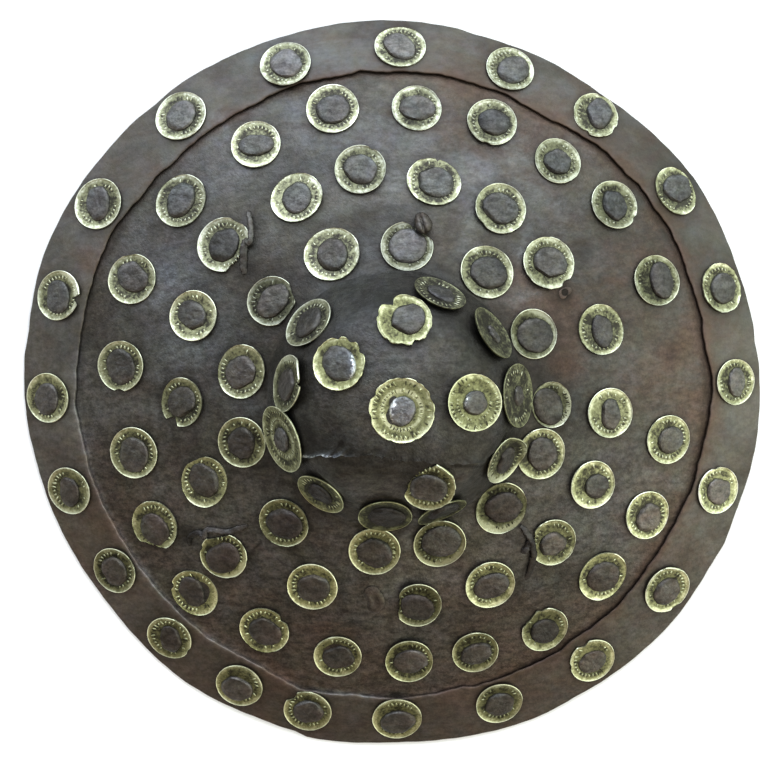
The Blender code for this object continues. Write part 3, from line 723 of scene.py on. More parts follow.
class Counter:
    """One brass counter: where it sits, how it was struck, and what has happened to it since."""

    def __init__(self, row, index, head_top, up):
        rng = random.Random(f"{row} {index}")
        self.row, self.index = row, index
        self.width = ROW_WIDTHS[row][index] * MM
        self.head = ROW_HEADS[row][index]
        self.shine, self.worn = rng.uniform(0.0, 0.15), rng.uniform(-0.08, 0.10)
        self.dish = COUNTER_DISH * rng.uniform(0.75, 1.25)
        self.phases = [rng.uniform(0, TAU) for _ in range(8)]
        self.clear_arcs = [(rng.uniform(0, TAU), rng.uniform(0.3, 1.1)) for _ in range(2)]
        self.lean = (rng.uniform(0, 360), abs(rng.gauss(0, 1.2)))
        vars(self).update(COMMON_TRAITS | TRAITS[row].get(index, {}))
        around = math.degrees(math.atan2(head_top[1], head_top[0]))
        self.cool = CROWN_COOL if row == "top" else float(np.interp(around, EIGHTHS, BRASS_REFLECTED_COOLS, period=360))
        self.tone, self.head_tone = graded(BRASS_GRADES, row, index), graded(HEAD_GRADES, row, index)
        self.look = (self.worn, self.tone, self.cool)
        up = Vector(up)
        east, north = bearing(self.lean[0])
        tilt = Matrix.Rotation(math.radians(self.lean[1]), 4, (-north, east, 0))
        self.seat = upright(up, self.slipped(Vector(head_top) - SOLID_HEAD_HEIGHT * up)) @ tilt
        self.place = np.array(self.seat.translation)[:2]

    def slipped(self, middle):
        """Where its middle has got to, over the face as before."""
        slip = ROW_SLIPS[self.row][self.index] * MM if self.row in ROW_SLIPS else 0.0
        east, north, raised = (value * MM for value in self.moved)
        there = middle.xy - slip * middle.xy.normalized() + Vector((east, north))
        climb = float(face(there.x, there.y) - face(middle.x, middle.y))
        return Vector((there.x, there.y, middle.z + climb + raised))

    def edge(self, turns):
        """Radius of the edge at each turn, with its nicks, cuts and wear."""
        a, b, *wears = self.phases[:6]
        radius = self.width / 2 * (1 + 0.010 * np.cos(2 * turns + a) + 0.005 * np.cos(3 * turns + b))
        narrow = turns - math.radians(self.oval[0])
        radius = radius / np.hypot(np.cos(narrow) / self.oval[1], np.sin(narrow))
        wear = sum(np.cos(waves * turns + phase) for waves, phase in zip((7, 11, 17, 23), wears))
        radius = radius + self.ragged * 0.28 * MM * wear
        for where, half_width, depth in self.nicks:
            away = np.degrees(np.abs((turns - math.radians(where) + math.pi) % TAU - math.pi))
            radius = radius - depth * MM * np.sqrt(np.clip(1 - away / half_width, 0.0, 1.0))
        for where, reach in self.cuts:
            facing = np.cos(turns - math.radians(where))
            limit = (reach * MM + 0.25 * MM * np.cos(13 * turns + a)) / np.maximum(facing, 0.05)
            radius = np.where(facing > 0.05, np.minimum(radius, limit), radius)
        return radius

    def shaped(self, shares, turns, heights):
        """World points of the counter's skin at shares of its radius, turns and heights over its dish."""
        full = self.width / 2
        reach = np.minimum(shares * full, self.edge(turns) - np.maximum(full - full * shares, 0.0) * 0.02)
        dish = self.dish * np.clip((reach / full - 0.45) / 0.55, 0.0, 1.0) ** 1.5
        a, b = self.phases[6:]
        warp = 0.16 * MM * (reach / full) ** 2 * (np.cos(2 * turns + a) + 0.6 * np.cos(3 * turns + b))
        x, y, z = reach * np.cos(turns), reach * np.sin(turns), heights + dish + warp - COUNTER_THICKNESS
        if self.grooves:
            z = z + 0.06 * MM * np.sin(shares * full / GROOVE_PITCH * TAU) * (heights > -0.3 * MM)
        for where, line, lifted in self.folds:
            x, y, z = self.folded(x, y, z, where, line * MM, math.radians(lifted))
        return carried(self.seat, np.stack([x, y, z], axis=-1))

    @staticmethod
    def folded(x, y, z, where, line, lifted):
        """What lies past a line is turned up about it, round a small bend."""
        east, north = bearing(where)
        past = x * east + y * north - line
        turn = np.clip(past / BEND, 0.0, lifted)
        rest = np.maximum(past - turn * BEND, 0.0)
        along = np.sin(turn) * (BEND - z) + rest * np.cos(turn)
        up = BEND - (BEND - z) * np.cos(turn) + rest * np.sin(turn)
        shift = np.where(past > 0, along, past) - past
        return x + shift * east, y + shift * north, np.where(past > 0, up, z)

    def skin(self):
        """Rings of points, and how raised and how pale each is."""
        turns = all_round(COUNTER_SIDES)
        rings, raised, tones = [], [], []
        for share, height, level in COUNTER_PROFILE:
            rings.append(self.shaped(share, turns, height * MM * np.ones(COUNTER_SIDES)))
            # Dirt and painted shade darken the brass close to the head.
            clear = max(share - self.head[0] * 0.95, 0.0) / HEAD_DIRT_AND_SHADE[1]
            level = level * self.relief - HEAD_DIRT_AND_SHADE[0] * math.exp(-clear)
            tone = self.tone
            # Painted highlight on the edges of the southern counters.
            if share > 0.975 and height > 0:
                level = level + SOUTH_EDGE_HIGHLIGHT * float(fade(self.place[1], 0.04, -0.08))
                tone = max(tone, EDGE_TONE)
            for ring in () if self.grooves else self.rings[:-1]:
                level = level + RING_GLOW * math.exp(-((share - ring) / 0.07) ** 2)
            # Painted highlight on one side of the counter.
            lit = fade(np.cos(turns - math.radians(self.lit[0])), 0.2, 0.9) * float(fade(share, 0.55, 0.8))
            raised.append(level + self.lit[1] * lit)
            tones.append(np.full(COUNTER_SIDES, tone))
        return np.array(rings), np.array(raised), np.array(tones)

    def guide(self, share):
        """A closed line round the counter for strokes, the way up along it, and the share of strokes kept."""
        turns = all_round(GUIDE_POINTS)
        line, inside = (self.shaped(reach, turns, np.zeros(GUIDE_POINTS)) for reach in (share, share - 0.06))
        ahead = np.roll(line, -1, axis=0) - np.roll(line, 1, axis=0)
        kept = np.full(GUIDE_POINTS, 0.0 if self.plain else FAINT_SHARE)
        for where, half_width in () if self.plain else self.clear_arcs:
            away = np.abs((turns - where + math.pi) % TAU - math.pi)
            kept = np.maximum(kept, fade(away, half_width * 1.2, half_width * 0.8))
        return line, unit(np.cross(line - inside, ahead)), kept


COUNTERS = [Counter(row, i, *rivet) for row in ROW_RIVETS for i, rivet in enumerate(ROW_RIVETS[row])]


def make_counters(row, replaces=()):
    points, faces, raised, looks = [], [], [], []
    for counter in (c for c in COUNTERS if c.row == row):
        rings, levels, tones = counter.skin()
        faces += skin_faces(len(rings), COUNTER_SIDES, start=sum(map(len, points)))
        points.append(skin_points(rings))
        raised.append(np.append(levels, (0.0, 0.0)))
        hubs = (counter.tone, counter.tone)
        looks += [(counter.worn, tone, counter.cool) for tone in np.append(tones, hubs)]
    mesh = mesh_of(f"counters_{row}", np.vstack(points), faces=faces)
    paint_brass(mesh, np.concatenate(raised), looks)
    finished(f"counters_{row}", mesh, BRASS, replaces, sharp=50)


# ---- Geometry Nodes: what repeats ----
class Growth(Net):
    """A Geometry Nodes tree, with its inputs by name."""

    def __init__(self, name, inputs):
        super().__init__(bpy.data.node_groups.new(name, "GeometryNodeTree"))
        sides = [("INPUT", label, kind) for label, kind in {"Geometry": "Geometry", **inputs}.items()]
        for side, label, kind in (*sides, ("OUTPUT", "Geometry", "Geometry")):
            self.tree.interface.new_socket(name=label, in_out=side, socket_type="NodeSocket" + kind)
        first = self.put("NodeGroupInput")
        self.given = {label: first.sibling(label) for _, label, _ in sides}

    def kept(self, name, kind):
        return self.put("GeometryNodeInputNamedAttribute", {"Name": name}, "Attribute", data_type=kind)

    def keep(self, geometry, name, value, kind, domain="POINT"):
        sockets = {"Geometry": geometry, "Name": name, "Value": value}
        return self.put("GeometryNodeStoreNamedAttribute", sockets, data_type=kind, domain=domain)

    def chance(self, low, high, which, seed):
        sockets = {"Min": low, "Max": high, "ID": which, "Seed": seed}
        return self.put("FunctionNodeRandomValue", sockets, data_type="FLOAT")

    def end(self, geometry, material):
        last = self.put("GeometryNodeSetMaterial", {"Geometry": geometry, "Material": material})
        self.plug(last, self.tree.nodes.new("NodeGroupOutput").inputs["Geometry"])
        return self.tree


def grown(name, guides, tree, values):
    """Runs a tree on a mesh of guides, and returns what it makes as a plain mesh."""
    guide = link(name + "_guide", guides)
    modifier = guide.modifiers.new(name, "NODES")
    modifier.node_group = tree
    sockets = {item.name: item.identifier for item in tree.interface.items_tree if item.in_out == "INPUT"}
    for label, value in values.items():
        modifier[sockets[label]] = value
    mesh = bpy.data.meshes.new_from_object(guide.evaluated_get(bpy.context.evaluated_depsgraph_get()))
    mesh.name = name
    bpy.data.objects.remove(guide)
    return mesh


def stroke_tree():
    """Short worn ridges set square on a closed line, a pitch apart, some missing and none quite straight."""
    net = Growth("strokes along a ring", {
        "Pitch": "Float", "Length": "Float", "Width": "Float", "Height": "Float",
        "Kept share": "Float", "Slant": "Float", "Seed": "Int", "Brass": "Material"})
    given = net.given
    line = net.put("GeometryNodeMeshToCurve", {"Mesh": given["Geometry"]})
    even = net.put("GeometryNodeResampleCurve", {"Curve": line, "Length": given["Pitch"]}, mode="LENGTH")
    which = net.put("GeometryNodeInputIndex")
    gap = net.sums("MODULO", which, 2.0)
    ahead = net.put("GeometryNodeInputTangent")
    axes = {"Primary Axis": net.kept("up", "FLOAT_VECTOR"), "Secondary Axis": ahead}
    square = net.put("FunctionNodeAxesToRotation", axes, primary_axis="Z", secondary_axis="X")
    slant = net.chance(-1.0, 1.0, which, given["Seed"]) * given["Slant"]
    slanted = {"Rotation": square, "Rotate By": net.put("ShaderNodeCombineXYZ", {"Z": slant})}
    turned = net.put("FunctionNodeRotateRotation", slanted, rotation_space="LOCAL")
    size = net.put("ShaderNodeCombineXYZ", {
        "X": given["Width"], "Y": net.chance(0.55, 1.25, which, given["Seed"] + 7) * given["Length"],
        "Z": given["Height"] * (1.0 - gap * 0.65)})
    odds = net.kept("kept", "FLOAT") * given["Kept share"]
    draw = {"Probability": odds, "ID": which, "Seed": given["Seed"] + 19}
    stands = net.put("FunctionNodeRandomValue", draw, data_type="BOOLEAN")
    placed = net.put("GeometryNodeInstanceOnPoints", {
        "Points": net.keep(even, "gap", gap, "FLOAT"), "Selection": stands, "Rotation": turned, "Scale": size,
        "Instance": net.put("GeometryNodeMeshIcoSphere", {"Radius": 0.5, "Subdivisions": 1})})
    return net.end(net.put("GeometryNodeRealizeInstances", {"Geometry": placed}), given["Brass"])


SIDE_FACETS = 8
TOP_FACETS = 3


def head_tree():
    """Rivet heads beaten down by hammer: each a ball cut by its own set of flats, then lightly pitted."""
    net = Growth("hammered rivet heads", {
        "Top flat": "Float", "Side flat": "Float", "Top lean": "Float", "Pitting": "Float",
        "Fineness": "Int", "Seed": "Int", "Iron": "Material"})
    given = net.given
    ball = net.put("GeometryNodeMeshIcoSphere", {"Radius": 1.0, "Subdivisions": given["Fineness"]})
    spot = net.put("GeometryNodeInputPosition")
    east = net.put("ShaderNodeSeparateXYZ", {"Vector": spot})
    floored = net.put("ShaderNodeCombineXYZ", {
        "X": east, "Y": east.sibling("Y"), "Z": net.sums("MAXIMUM", east.sibling("Z"), -0.25)})
    ball = net.put("GeometryNodeSetPosition", {"Geometry": ball, "Position": floored})
    turn, size = net.kept("turn", "QUATERNION"), net.kept("size", "FLOAT_VECTOR")
    placed = net.put("GeometryNodeInstanceOnPoints", {
        "Points": given["Geometry"], "Instance": net.keep(ball, "on_ball", spot, "FLOAT_VECTOR"),
        "Rotation": turn, "Scale": size})
    placed = net.keep(placed, "which", net.put("GeometryNodeInputIndex"), "INT", "INSTANCE")
    real = net.put("GeometryNodeRealizeInstances", {"Geometry": placed})
    local, which = net.kept("on_ball", "FLOAT_VECTOR"), net.kept("which", "INT")
    least = 1.0
    for facet in range(SIDE_FACETS + TOP_FACETS):
        seed = given["Seed"] + 5.0 * facet
        on_side = facet < SIDE_FACETS
        step = TAU / (SIDE_FACETS if on_side else TOP_FACETS)
        turned = net.chance(step * (facet - 0.45), step * (facet + 0.45), which, seed)
        if on_side:
            above = net.chance(0.20, 0.75, which, seed + 1.0)
            reach = given["Side flat"] * net.chance(0.90, 1.16, which, seed + 2.0)
        else:
            above = math.pi / 2 - given["Top lean"] * net.chance(0.1, 1.0, which, seed + 1.0)
            reach = given["Top flat"] * net.chance(0.95, 1.08, which, seed + 2.0)
        level = net.sums("COSINE", above)
        facing = net.put("ShaderNodeCombineXYZ", {
            "X": level * net.sums("COSINE", turned), "Y": level * net.sums("SINE", turned),
            "Z": net.sums("SINE", above)})
        ahead = net.sums("MAXIMUM", net.vector_sums("DOT_PRODUCT", local, facing), 0.001)
        least = net.sums("SMOOTH_MIN", reach / ahead, least, 0.10)
    shrunk = net.vector_sums("SCALE", local, least - 1.0)
    offset = net.put("FunctionNodeRotateVector", {
        "Vector": net.vector_sums("MULTIPLY", shrunk, size), "Rotation": turn})
    pits = net.put("ShaderNodeTexNoise", {"Scale": 330.0, "Detail": 3.0}, "Fac")
    worn = net.vector_sums("SCALE", net.put("GeometryNodeInputNormal"), (pits - 0.5) * given["Pitting"])
    moves = {"Geometry": real, "Offset": net.vector_sums("ADD", offset, worn)}
    return net.end(net.put("GeometryNodeSetPosition", moves), given["Iron"])


STROKE_TREE = stroke_tree()
HEAD_TREE = head_tree()
STROKE_LEVEL = 0.80             # how raised a stroke looks
STROKES = {
    "counter_strokes": {"Pitch": 1.02 * MM, "Length": 2.7 * MM, "Width": 0.95 * MM, "Height": 0.50 * MM,
                        "Kept share": 0.92, "Slant": 0.40, "Seed": 4, "Brass": STROKE_BRASS},
    "counter_beads": {"Pitch": 0.75 * MM, "Length": 2.2 * MM, "Width": 0.72 * MM, "Height": 0.45 * MM,
                      "Kept share": 1.0, "Slant": 0.1, "Seed": 9, "Brass": STROKE_BRASS},
}


def guide_mesh(guides):
    """Closed lines of points, each with the way up and the share of strokes kept, as one mesh of edges."""
    lines, ups, shares = zip(*guides)
    edges, start = [], 0
    for line in lines:
        edges += [(start + i, start + (i + 1) % len(line)) for i in range(len(line))]
        start += len(line)
    mesh = mesh_of("guide", np.vstack(lines), edges)
    store(mesh, "up", "FLOAT_VECTOR", np.vstack(ups))
    store(mesh, "kept", "FLOAT", np.concatenate(shares))
    return mesh


def make_strokes():
    """The worn letters of the counters, and the beads inside some of them, as strokes that spell nothing.

    Each stroke is as worn and as pale as the counter it stands on, with dirt packed between each two.
    """
    guides = {"counter_strokes": [c.guide(c.rings[-1]) for c in COUNTERS],
              "counter_beads": [c.guide(share) for c in COUNTERS for share in c.rings[:-1]]}
    centres = np.array([c.seat.translation for c in COUNTERS])
    looks = np.array([c.look for c in COUNTERS])
    for name, sizes in STROKES.items():
        mesh = grown(name, guide_mesh(guides[name]), STROKE_TREE, sizes)
        nearest = np.linalg.norm(points_of(mesh)[:, None, :] - centres[None, :, :], axis=2).argmin(axis=1)
        paint_brass(mesh, np.where(stored(mesh, "gap") > 0.5, GAP_LEVEL, STROKE_LEVEL), looks[nearest])
        finished(name, mesh, STROKE_BRASS, sharp=80)


TAIL_WIDTH = 5.2 * MM
TAIL_HEIGHT = 1.5 * MM
HEAD_SPREAD = 0.3               # how evenly heads are set, in millimetres
HEAD_FLARE = 1.18               # how much wider a head is before the flats are cut


def seat_points(seats):
    """One point for each rivet head, with its turn and its size along its own axes."""
    matrices, sizes = zip(*seats)
    mesh = mesh_of("seats", [tuple(matrix.translation) for matrix in matrices])
    store(mesh, "turn", "QUATERNION", [tuple(matrix.to_quaternion()) for matrix in matrices])
    store(mesh, "size", "FLOAT_VECTOR", sizes)
    return mesh


def rotation(*angles):
    return Euler(angles).to_matrix().to_4x4()


def make_rivets(row):
    """Heads on the counters, and the burred tails behind the plate."""
    rng = random.Random("rivets " + row)
    counters = [c for c in COUNTERS if c.row == row]
    heads, tails = [], []
    for counter in counters:
        share, breadth, way = counter.head
        half = share * counter.width / 2 * HEAD_FLARE
        outward = Vector(counter.place).normalized() * HEAD_SHIFT[0]
        east = rng.gauss(outward.x + HEAD_SHIFT[1], HEAD_SPREAD) + counter.head_at[0]
        north = rng.gauss(outward.y + HEAD_SHIFT[2], HEAD_SPREAD) + counter.head_at[1]
        down = Matrix.Translation((east * MM, north * MM, -COUNTER_THICKNESS))
        size = (half, half * breadth, HEAD_HEIGHT * rng.uniform(1.0, 1.3))
        heads.append((counter.seat @ down @ rotation(0, 0, math.radians(way)), size))
        back = seat(counter.place, -PLATE_THICKNESS) @ rotation(math.pi, 0, rng.uniform(0, TAU))
        half = TAIL_WIDTH / 2 * rng.uniform(0.85, 1.15)
        tails.append((back, (half, half * rng.uniform(0.8, 1.0), TAIL_HEIGHT * rng.uniform(0.8, 1.1))))
    cut = {"Top flat": 0.50, "Side flat": 0.92, "Top lean": 0.16, "Seed": len(heads), "Iron": RIVET_IRON}
    for name, seats, fineness, pitting in (("rivets", heads, 4, 1.0), ("tails", tails, 3, 0.3)):
        values = {**cut, "Fineness": fineness, "Pitting": pitting * MM}
        mesh = grown(f"{name}_{row}", seat_points(seats), HEAD_TREE, values)
        if name == "rivets":
            paint_heads(mesh, heads, counters)
        else:
            paint_iron(mesh)
        finished(f"{name}_{row}", mesh, RIVET_IRON, sharp=30)


def paint_heads(mesh, heads, counters):
    """Heads have a painted blue-grey sheen in the north and painted glints on one side, are red-brown in the
    south, and are darkened round the foot with dirt and painted shade.
    """
    points = points_of(mesh).reshape(len(heads), -1, 3)
    sheen, lifts, tones = [], [], []
    for spots, (matrix, size), counter in zip(points, heads, counters):
        away = spots - np.array(matrix.translation)
        lifts.append(away @ np.array(matrix.col[2])[:3])
        towards, glint = counter.glint
        east, north = bearing(towards)
        side = away[:, 0] * east + away[:, 1] * north
        # Painted glint on one side of the head.
        sheen.append(counter.shine + glint * fade(side / size[0], 0.25, 0.75))
        tones.append(np.full(len(spots), counter.head_tone))
    north = points[..., 1].ravel()
    # Painted sheen, stronger towards the north.
    sheen = np.concatenate(sheen) + 0.26 * fade(north, -0.02, 0.12)
    # Dirt and painted shade round the foot of each head.
    dirt_and_shade = 0.45 * fade(np.concatenate(lifts), 0.9 * MM, 0.2 * MM)
    paint_iron(mesh, sheen, 0.45 * fade(north, 0.04, -0.08), dirt_and_shade, np.concatenate(tones), 1.1)


# ---- patches of colour on the sheets: place, half-width, strength ----
RUST_SPOTS = (
    ((0.100, 0.110), 0.030, 0.42), ((0.130, 0.060), 0.022, 0.42), ((0.140, 0.005), 0.022, 0.52),
    ((0.085, 0.034), 0.016, 0.58), ((0.060, 0.048), 0.012, 0.60), ((0.020, 0.148), 0.018, 0.45),
    ((-0.040, 0.150), 0.016, 0.30), ((0.060, 0.133), 0.020, 0.50), ((-0.150, 0.062), 0.012, 0.45),
    ((0.135, -0.055), 0.020, 0.45), ((-0.150, -0.070), 0.022, 0.40), ((-0.060, -0.150), 0.030, 0.35),
    ((0.060, -0.140), 0.026, 0.35), ((0.150, -0.090), 0.022, 0.30), ((-0.125, -0.050), 0.018, 0.35),
    ((0.020, -0.035), 0.008, 0.35), ((0.028, 0.018), 0.010, 0.30), ((0.118, -0.012), 0.014, 0.28),
    ((0.149, 0.026), 0.0055, 1.00), ((0.152, -0.008), 0.0060, 1.00), ((0.082, 0.016), 0.0070, 0.80),
    ((0.134, 0.015), 0.0050, 0.80), ((0.078, 0.044), 0.0045, 0.90), ((0.070, 0.040), 0.0045, 0.70),
)
# Dark smudges on the field, the same way: at the lost staple, beyond it, and at the staples that are left.
SMUDGES = (
    ((0.0805, 0.0468), 0.0026, 0.90), ((0.0790, 0.0440), 0.0040, 0.45), ((0.0895, 0.0660), 0.0045, 0.50),
    ((-0.0700, 0.0580), 0.0040, 0.55), ((-0.0680, 0.0830), 0.0040, 0.35), ((-0.1010, -0.0690), 0.0040, 0.60),
    ((0.0560, -0.0960), 0.0035, 0.50), ((0.0590, -0.0690), 0.0035, 0.45), ((0.1340, 0.0170), 0.0040, 0.35),
)
# Painted sheen: paler blue-grey patches, the same way.
SHEEN_SPOTS = (
    ((-0.108, 0.056), 0.013, 0.70), ((-0.092, 0.024), 0.012, 0.70), ((-0.075, 0.110), 0.018, 0.35),
    ((-0.020, 0.118), 0.016, 0.45), ((0.040, 0.106), 0.016, 0.35), ((-0.012, 0.062), 0.007, 0.60),
    ((0.062, 0.044), 0.0045, 0.95), ((0.062, 0.066), 0.0040, 0.60), ((0.100, -0.058), 0.014, 0.35),
    ((-0.066, -0.004), 0.010, 0.35), ((-0.050, 0.165), 0.016, 0.40), ((0.000, 0.030), 0.018, 0.25),
    ((-0.030, 0.036), 0.010, 0.35),
)
HALO_SHADE = 0.36                # how dark the painted shade round a counter is, and how soon it clears
HALO_WIDTH = 1.3 * MM
LIP_BEARING = -130              # the painted highlight along the band's inner edge: its middle, and where it starts
LIP_SPREAD = (72, 28)
LIP_WIDTH = 1.9 * MM
SEAM_RUST_WIDTH = 2.5 * MM
TEAR_SHINE_WIDTH = 1.2 * MM


def patches(x, y, spots):
    total = np.zeros(np.shape(x))
    for (east, north), reach, strength in spots:
        total = total + strength * np.exp(-((x - east) ** 2 + (y - north) ** 2) / (2 * reach ** 2))
    return np.minimum(total, 1.0)


def line_marks(x, y, marks):
    """Strength on a straight line between two places, falling off over its width."""
    total = 0.0
    for (ax, ay), (bx, by), width, strength in marks:
        run = (bx - ax) ** 2 + (by - ay) ** 2
        t = np.clip(((x - ax) * (bx - ax) + (y - ay) * (by - ay)) / run, 0.0, 1.0)
        away = np.hypot(x - ax - t * (bx - ax), y - ay - t * (by - ay))
        total = total + strength * np.exp(-(away / width) ** 2)
    return total


def grime_round_counters(x, y):
    """Painted shade in a narrow halo round each counter, and the dark smudges."""
    dirt_and_shade = np.zeros(np.shape(x))
    for counter in COUNTERS:
        away = np.hypot(x - counter.place[0], y - counter.place[1]) - counter.width / 2
        dirt_and_shade = np.maximum(dirt_and_shade, HALO_SHADE * np.exp(-np.maximum(away, 0.0) / HALO_WIDTH))
    return np.maximum(dirt_and_shade, patches(x, y, SMUDGES))


# Painted light and shade with the iron's own tone: how pale the iron is made at each distance from the middle,
# from the east anticlockwise by eighths.
FIELD_TONE_AND_SHADE = {
    0.035: (0.56, 0.80, 0.60, 0.62, 0.70, 0.55, 0.68, 0.60),
    0.062: (0.56, 0.82, 0.58, 0.62, 0.70, 0.70, 1.05, 0.95),
    0.073: (0.58, 0.92, 0.85, 0.58, 0.68, 0.90, 1.30, 1.14),
    0.095: (0.74, 0.84, 1.06, 0.87, 0.84, 0.97, 1.10, 1.08),
    0.115: (1.03, 0.90, 0.93, 0.83, 0.97, 1.14, 0.76, 0.73),
    0.138: (1.11, 0.88, 0.98, 1.01, 0.92, 1.09, 0.90, 0.95),
}
BAND_TONE_AND_SHADE = {0.170: (1.14, 0.88, 0.82, 1.06, 1.14, 0.99, 0.84, 0.86)}
# The cover's crown is painted pale and its south flank painted dark.
COVER_TONE_AND_SHADE = {
    0.010: (1.50,) * 8,
    0.020: (0.78, 1.22, 1.15, 1.14, 1.55, 1.70, 1.40, 1.22),
    0.030: (1.10, 0.84, 0.80, 0.76, 1.12, 0.80, 0.60, 1.12),
    0.042: (1.00, 0.76, 0.48, 0.55, 1.04, 0.50, 0.37, 1.00),
    0.052: (0.95, 0.78, 0.70, 0.70, 0.90, 0.60, 0.42, 0.95),
}


def tone_and_shade_round(x, y, tones):
    """Pale share, painted light and shade, between the given distances and bearings."""
    degrees, reach = np.degrees(np.arctan2(y, x)), np.hypot(x, y)
    rings = np.array([np.interp(degrees, EIGHTHS, row, period=360) for row in tones.values()])
    spots = np.interp(reach, list(tones), np.arange(len(tones)))
    low = np.floor(spots).astype(int)
    high = np.minimum(low + 1, len(tones) - 1)
    each = np.arange(len(reach))
    return rings[low, each] * (1 - spots + low) + rings[high, each] * (spots - low)


def lit_lip(turns):
    """1 where the band's inner edge carries a painted highlight, a pale line in the south-west, and 0
    elsewhere.
    """
    away = np.abs((np.degrees(turns) - LIP_BEARING + 180) % 360 - 180)
    return fade(away, *LIP_SPREAD)


def paint_sheet(mesh, tones, grime, seam=True, westward=-0.1):
    """Values of a sheet: painted light and shade from its tone table, grainy in the south-west, rusty in the
    south and along the seam, and a painted highlight on the lip.
    """
    x, y, _ = points_of(mesh).T
    grit = 1.5 - 0.85 * fade(y + 0.3 * x, -0.12, 0.12)
    sheen = patches(x, y, SHEEN_SPOTS)
    rust = patches(x, y, RUST_SPOTS) + 0.42 * fade(y + westward * x, -0.03, -0.14)
    lip = 0.0
    if seam:
        turns = np.arctan2(y, x)
        near, lit = np.abs(np.hypot(x, y) - seam_radius(turns)), lit_lip(turns)
        # Painted highlight along the lip: more sheen here, and a paler tone below.
        lip = lit * np.exp(-(near / LIP_WIDTH) ** 2)
        sheen = sheen + 0.45 * lip
        west = fade(x, 0.02, -0.10) * fade(y, 0.15, 0.05)
        rust = rust + 0.9 * (1 - lit) * (1 - 0.8 * west) * np.exp(-near / SEAM_RUST_WIDTH)
    # Painted light and shade from the tone table, made paler on the lip.
    paint_iron(mesh, sheen, rust, grime(x, y), tone_and_shade_round(x, y, tones) * (1 + 0.75 * lip), grit)


# ---- the three sheets ----
# The two hand-cut edges: bearing in degrees and millimetres, which for the shield's own edge is how far it
# stands out from the even one, and for the band's inner edge how far it is from the middle.
EDGE_CUTS = (
    (-175, 0.1), (-168, -0.6), (-160, 0.0), (-150, 0.0), (-143, -0.4), (-130, 0.6), (-125, 0.6), (-113, -1.4),
    (-106, -0.6), (-104, 1.2), (-100, 1.0), (-90, -0.6), (-70, 0.4), (-65, 0.2), (-60, -1.0), (-40, 0.8),
    (-30, -0.6), (-25, 0.2), (-20, -1.2), (-10, 0.0), (-5, 0.0), (4, -0.1), (7, -1.0), (10, -0.4), (20, -1.0),
    (35, 1.0), (55, -0.8), (65, 0.6), (77, -0.7), (80, 0.0), (90, -0.2), (105, -0.6), (125, 0.8), (130, -0.5),
    (135, 0.0), (140, -0.6), (160, 0.8), (171, -1.0), (175, 0.0),
)
SEAM_CUTS = (
    (-178, 155.9), (-170, 153.7), (-165, 154.0), (-150, 152.2), (-135, 152.2), (-127, 153.1), (-120, 151.9),
    (-115, 152.2), (-107, 155.9), (-97, 152.7), (-90, 154.0), (-77, 151.5), (-75, 153.1), (-65, 153.1),
    (-58, 154.0), (-55, 152.7), (-45, 154.6), (-35, 153.5), (-23, 154.0), (-17, 155.4), (-14, 154.4),
    (0, 156.9), (3, 156.5), (6, 154.4), (10, 154.0), (13, 155.0), (20, 154.1), (30, 155.9), (35, 154.7),
    (40, 155.6), (43, 154.0), (48, 155.0), (61, 150.6), (65, 151.2), (70, 153.0), (75, 152.5), (80, 153.6),
    (93, 153.1), (96, 154.7), (100, 153.1), (108, 154.7), (112, 154.2), (115, 153.1), (130, 153.5),
    (134.5, 152.7), (137, 154.1), (143, 153.7), (150, 156.5), (170, 154.6), (180, 155.0),
)


def hand_cut(turns, knots):
    """Runs straight from each knot to the next, all the way round."""
    degrees, amounts = np.array(knots).T
    return np.interp(np.degrees(turns), degrees, amounts, period=360) * MM


def ripple(turns, *waves):
    """A hand's tremble: waves round the edge, each with its count, phase and height in millimetres."""
    return sum(height * np.cos(count * turns + phase) for count, phase, height in waves) * MM


def seam_radius(turns):
    """Hand-cut inner edge of the rim band."""
    return hand_cut(turns, SEAM_CUTS) + ripple(turns, (57, 0.2, 0.14), (103, 2.9, 0.11), (171, 1.1, 0.08))


def drawn_edge(turns):
    """The shield's own edge."""
    return edge_radius(turns) + hand_cut(turns, EDGE_CUTS) + ripple(turns, (61, 2.2, 0.08), (113, 0.7, 0.05))


FIELD_SIDES = 400
BAND_SIDES = 900
COVER_SIDES = 520
# Dark lines on the field: the crack at the tear, a scratch beside it, and a painted shadow at the foot of the
# flank, below the cover's torn edge.
FIELD_LINES = (
    ((-0.0643, -0.0721), (-0.0833, -0.0957), 0.7 * MM, 0.85),
    ((0.064, -0.083), (0.060, -0.094), 1.2 * MM, 0.6),
    ((0.0240, -0.0310), (0.0390, -0.0325), 0.9 * MM, 0.9),
)
COVER_LINES = (((-0.0250, -0.0205), (-0.0300, -0.0262), 0.7 * MM, 0.9),)
COVER_HOLE = (-0.0250, -0.0205)


def field_grime(x, y):
    """The cracks, a painted shadow below the cover's torn edge, painted shade along the seam under the band,
    and a dark stain north of the boss with two straight sides.
    """
    under_band_shade = 0.45 * fade(np.hypot(x, y), SEAM_RADIUS - 4 * MM, SEAM_RADIUS)
    under_band_shade = under_band_shade * (1 - lit_lip(np.arctan2(y, x)))
    stain = 0.30 * fade(x, -0.0212, -0.0198) * (1 - fade(x, 0.008, 0.018))
    stain = stain * (1 - fade(y, 0.087, 0.0886)) * fade(y, 0.050, 0.058)
    return np.clip(grime_round_counters(x, y) + line_marks(x, y, FIELD_LINES) + under_band_shade + stain, 0.0, 0.9)


def cover_grime(x, y):
    """A small hole in the cover, its dark inside painted as shade, and the split that runs from it to the
    tear.
    """
    hole = 1.5 * np.exp(-(np.hypot(x - COVER_HOLE[0], y - COVER_HOLE[1]) / (1.4 * MM)) ** 2)
    return np.clip(grime_round_counters(x, y) + hole + line_marks(x, y, COVER_LINES), 0.0, 1.0)


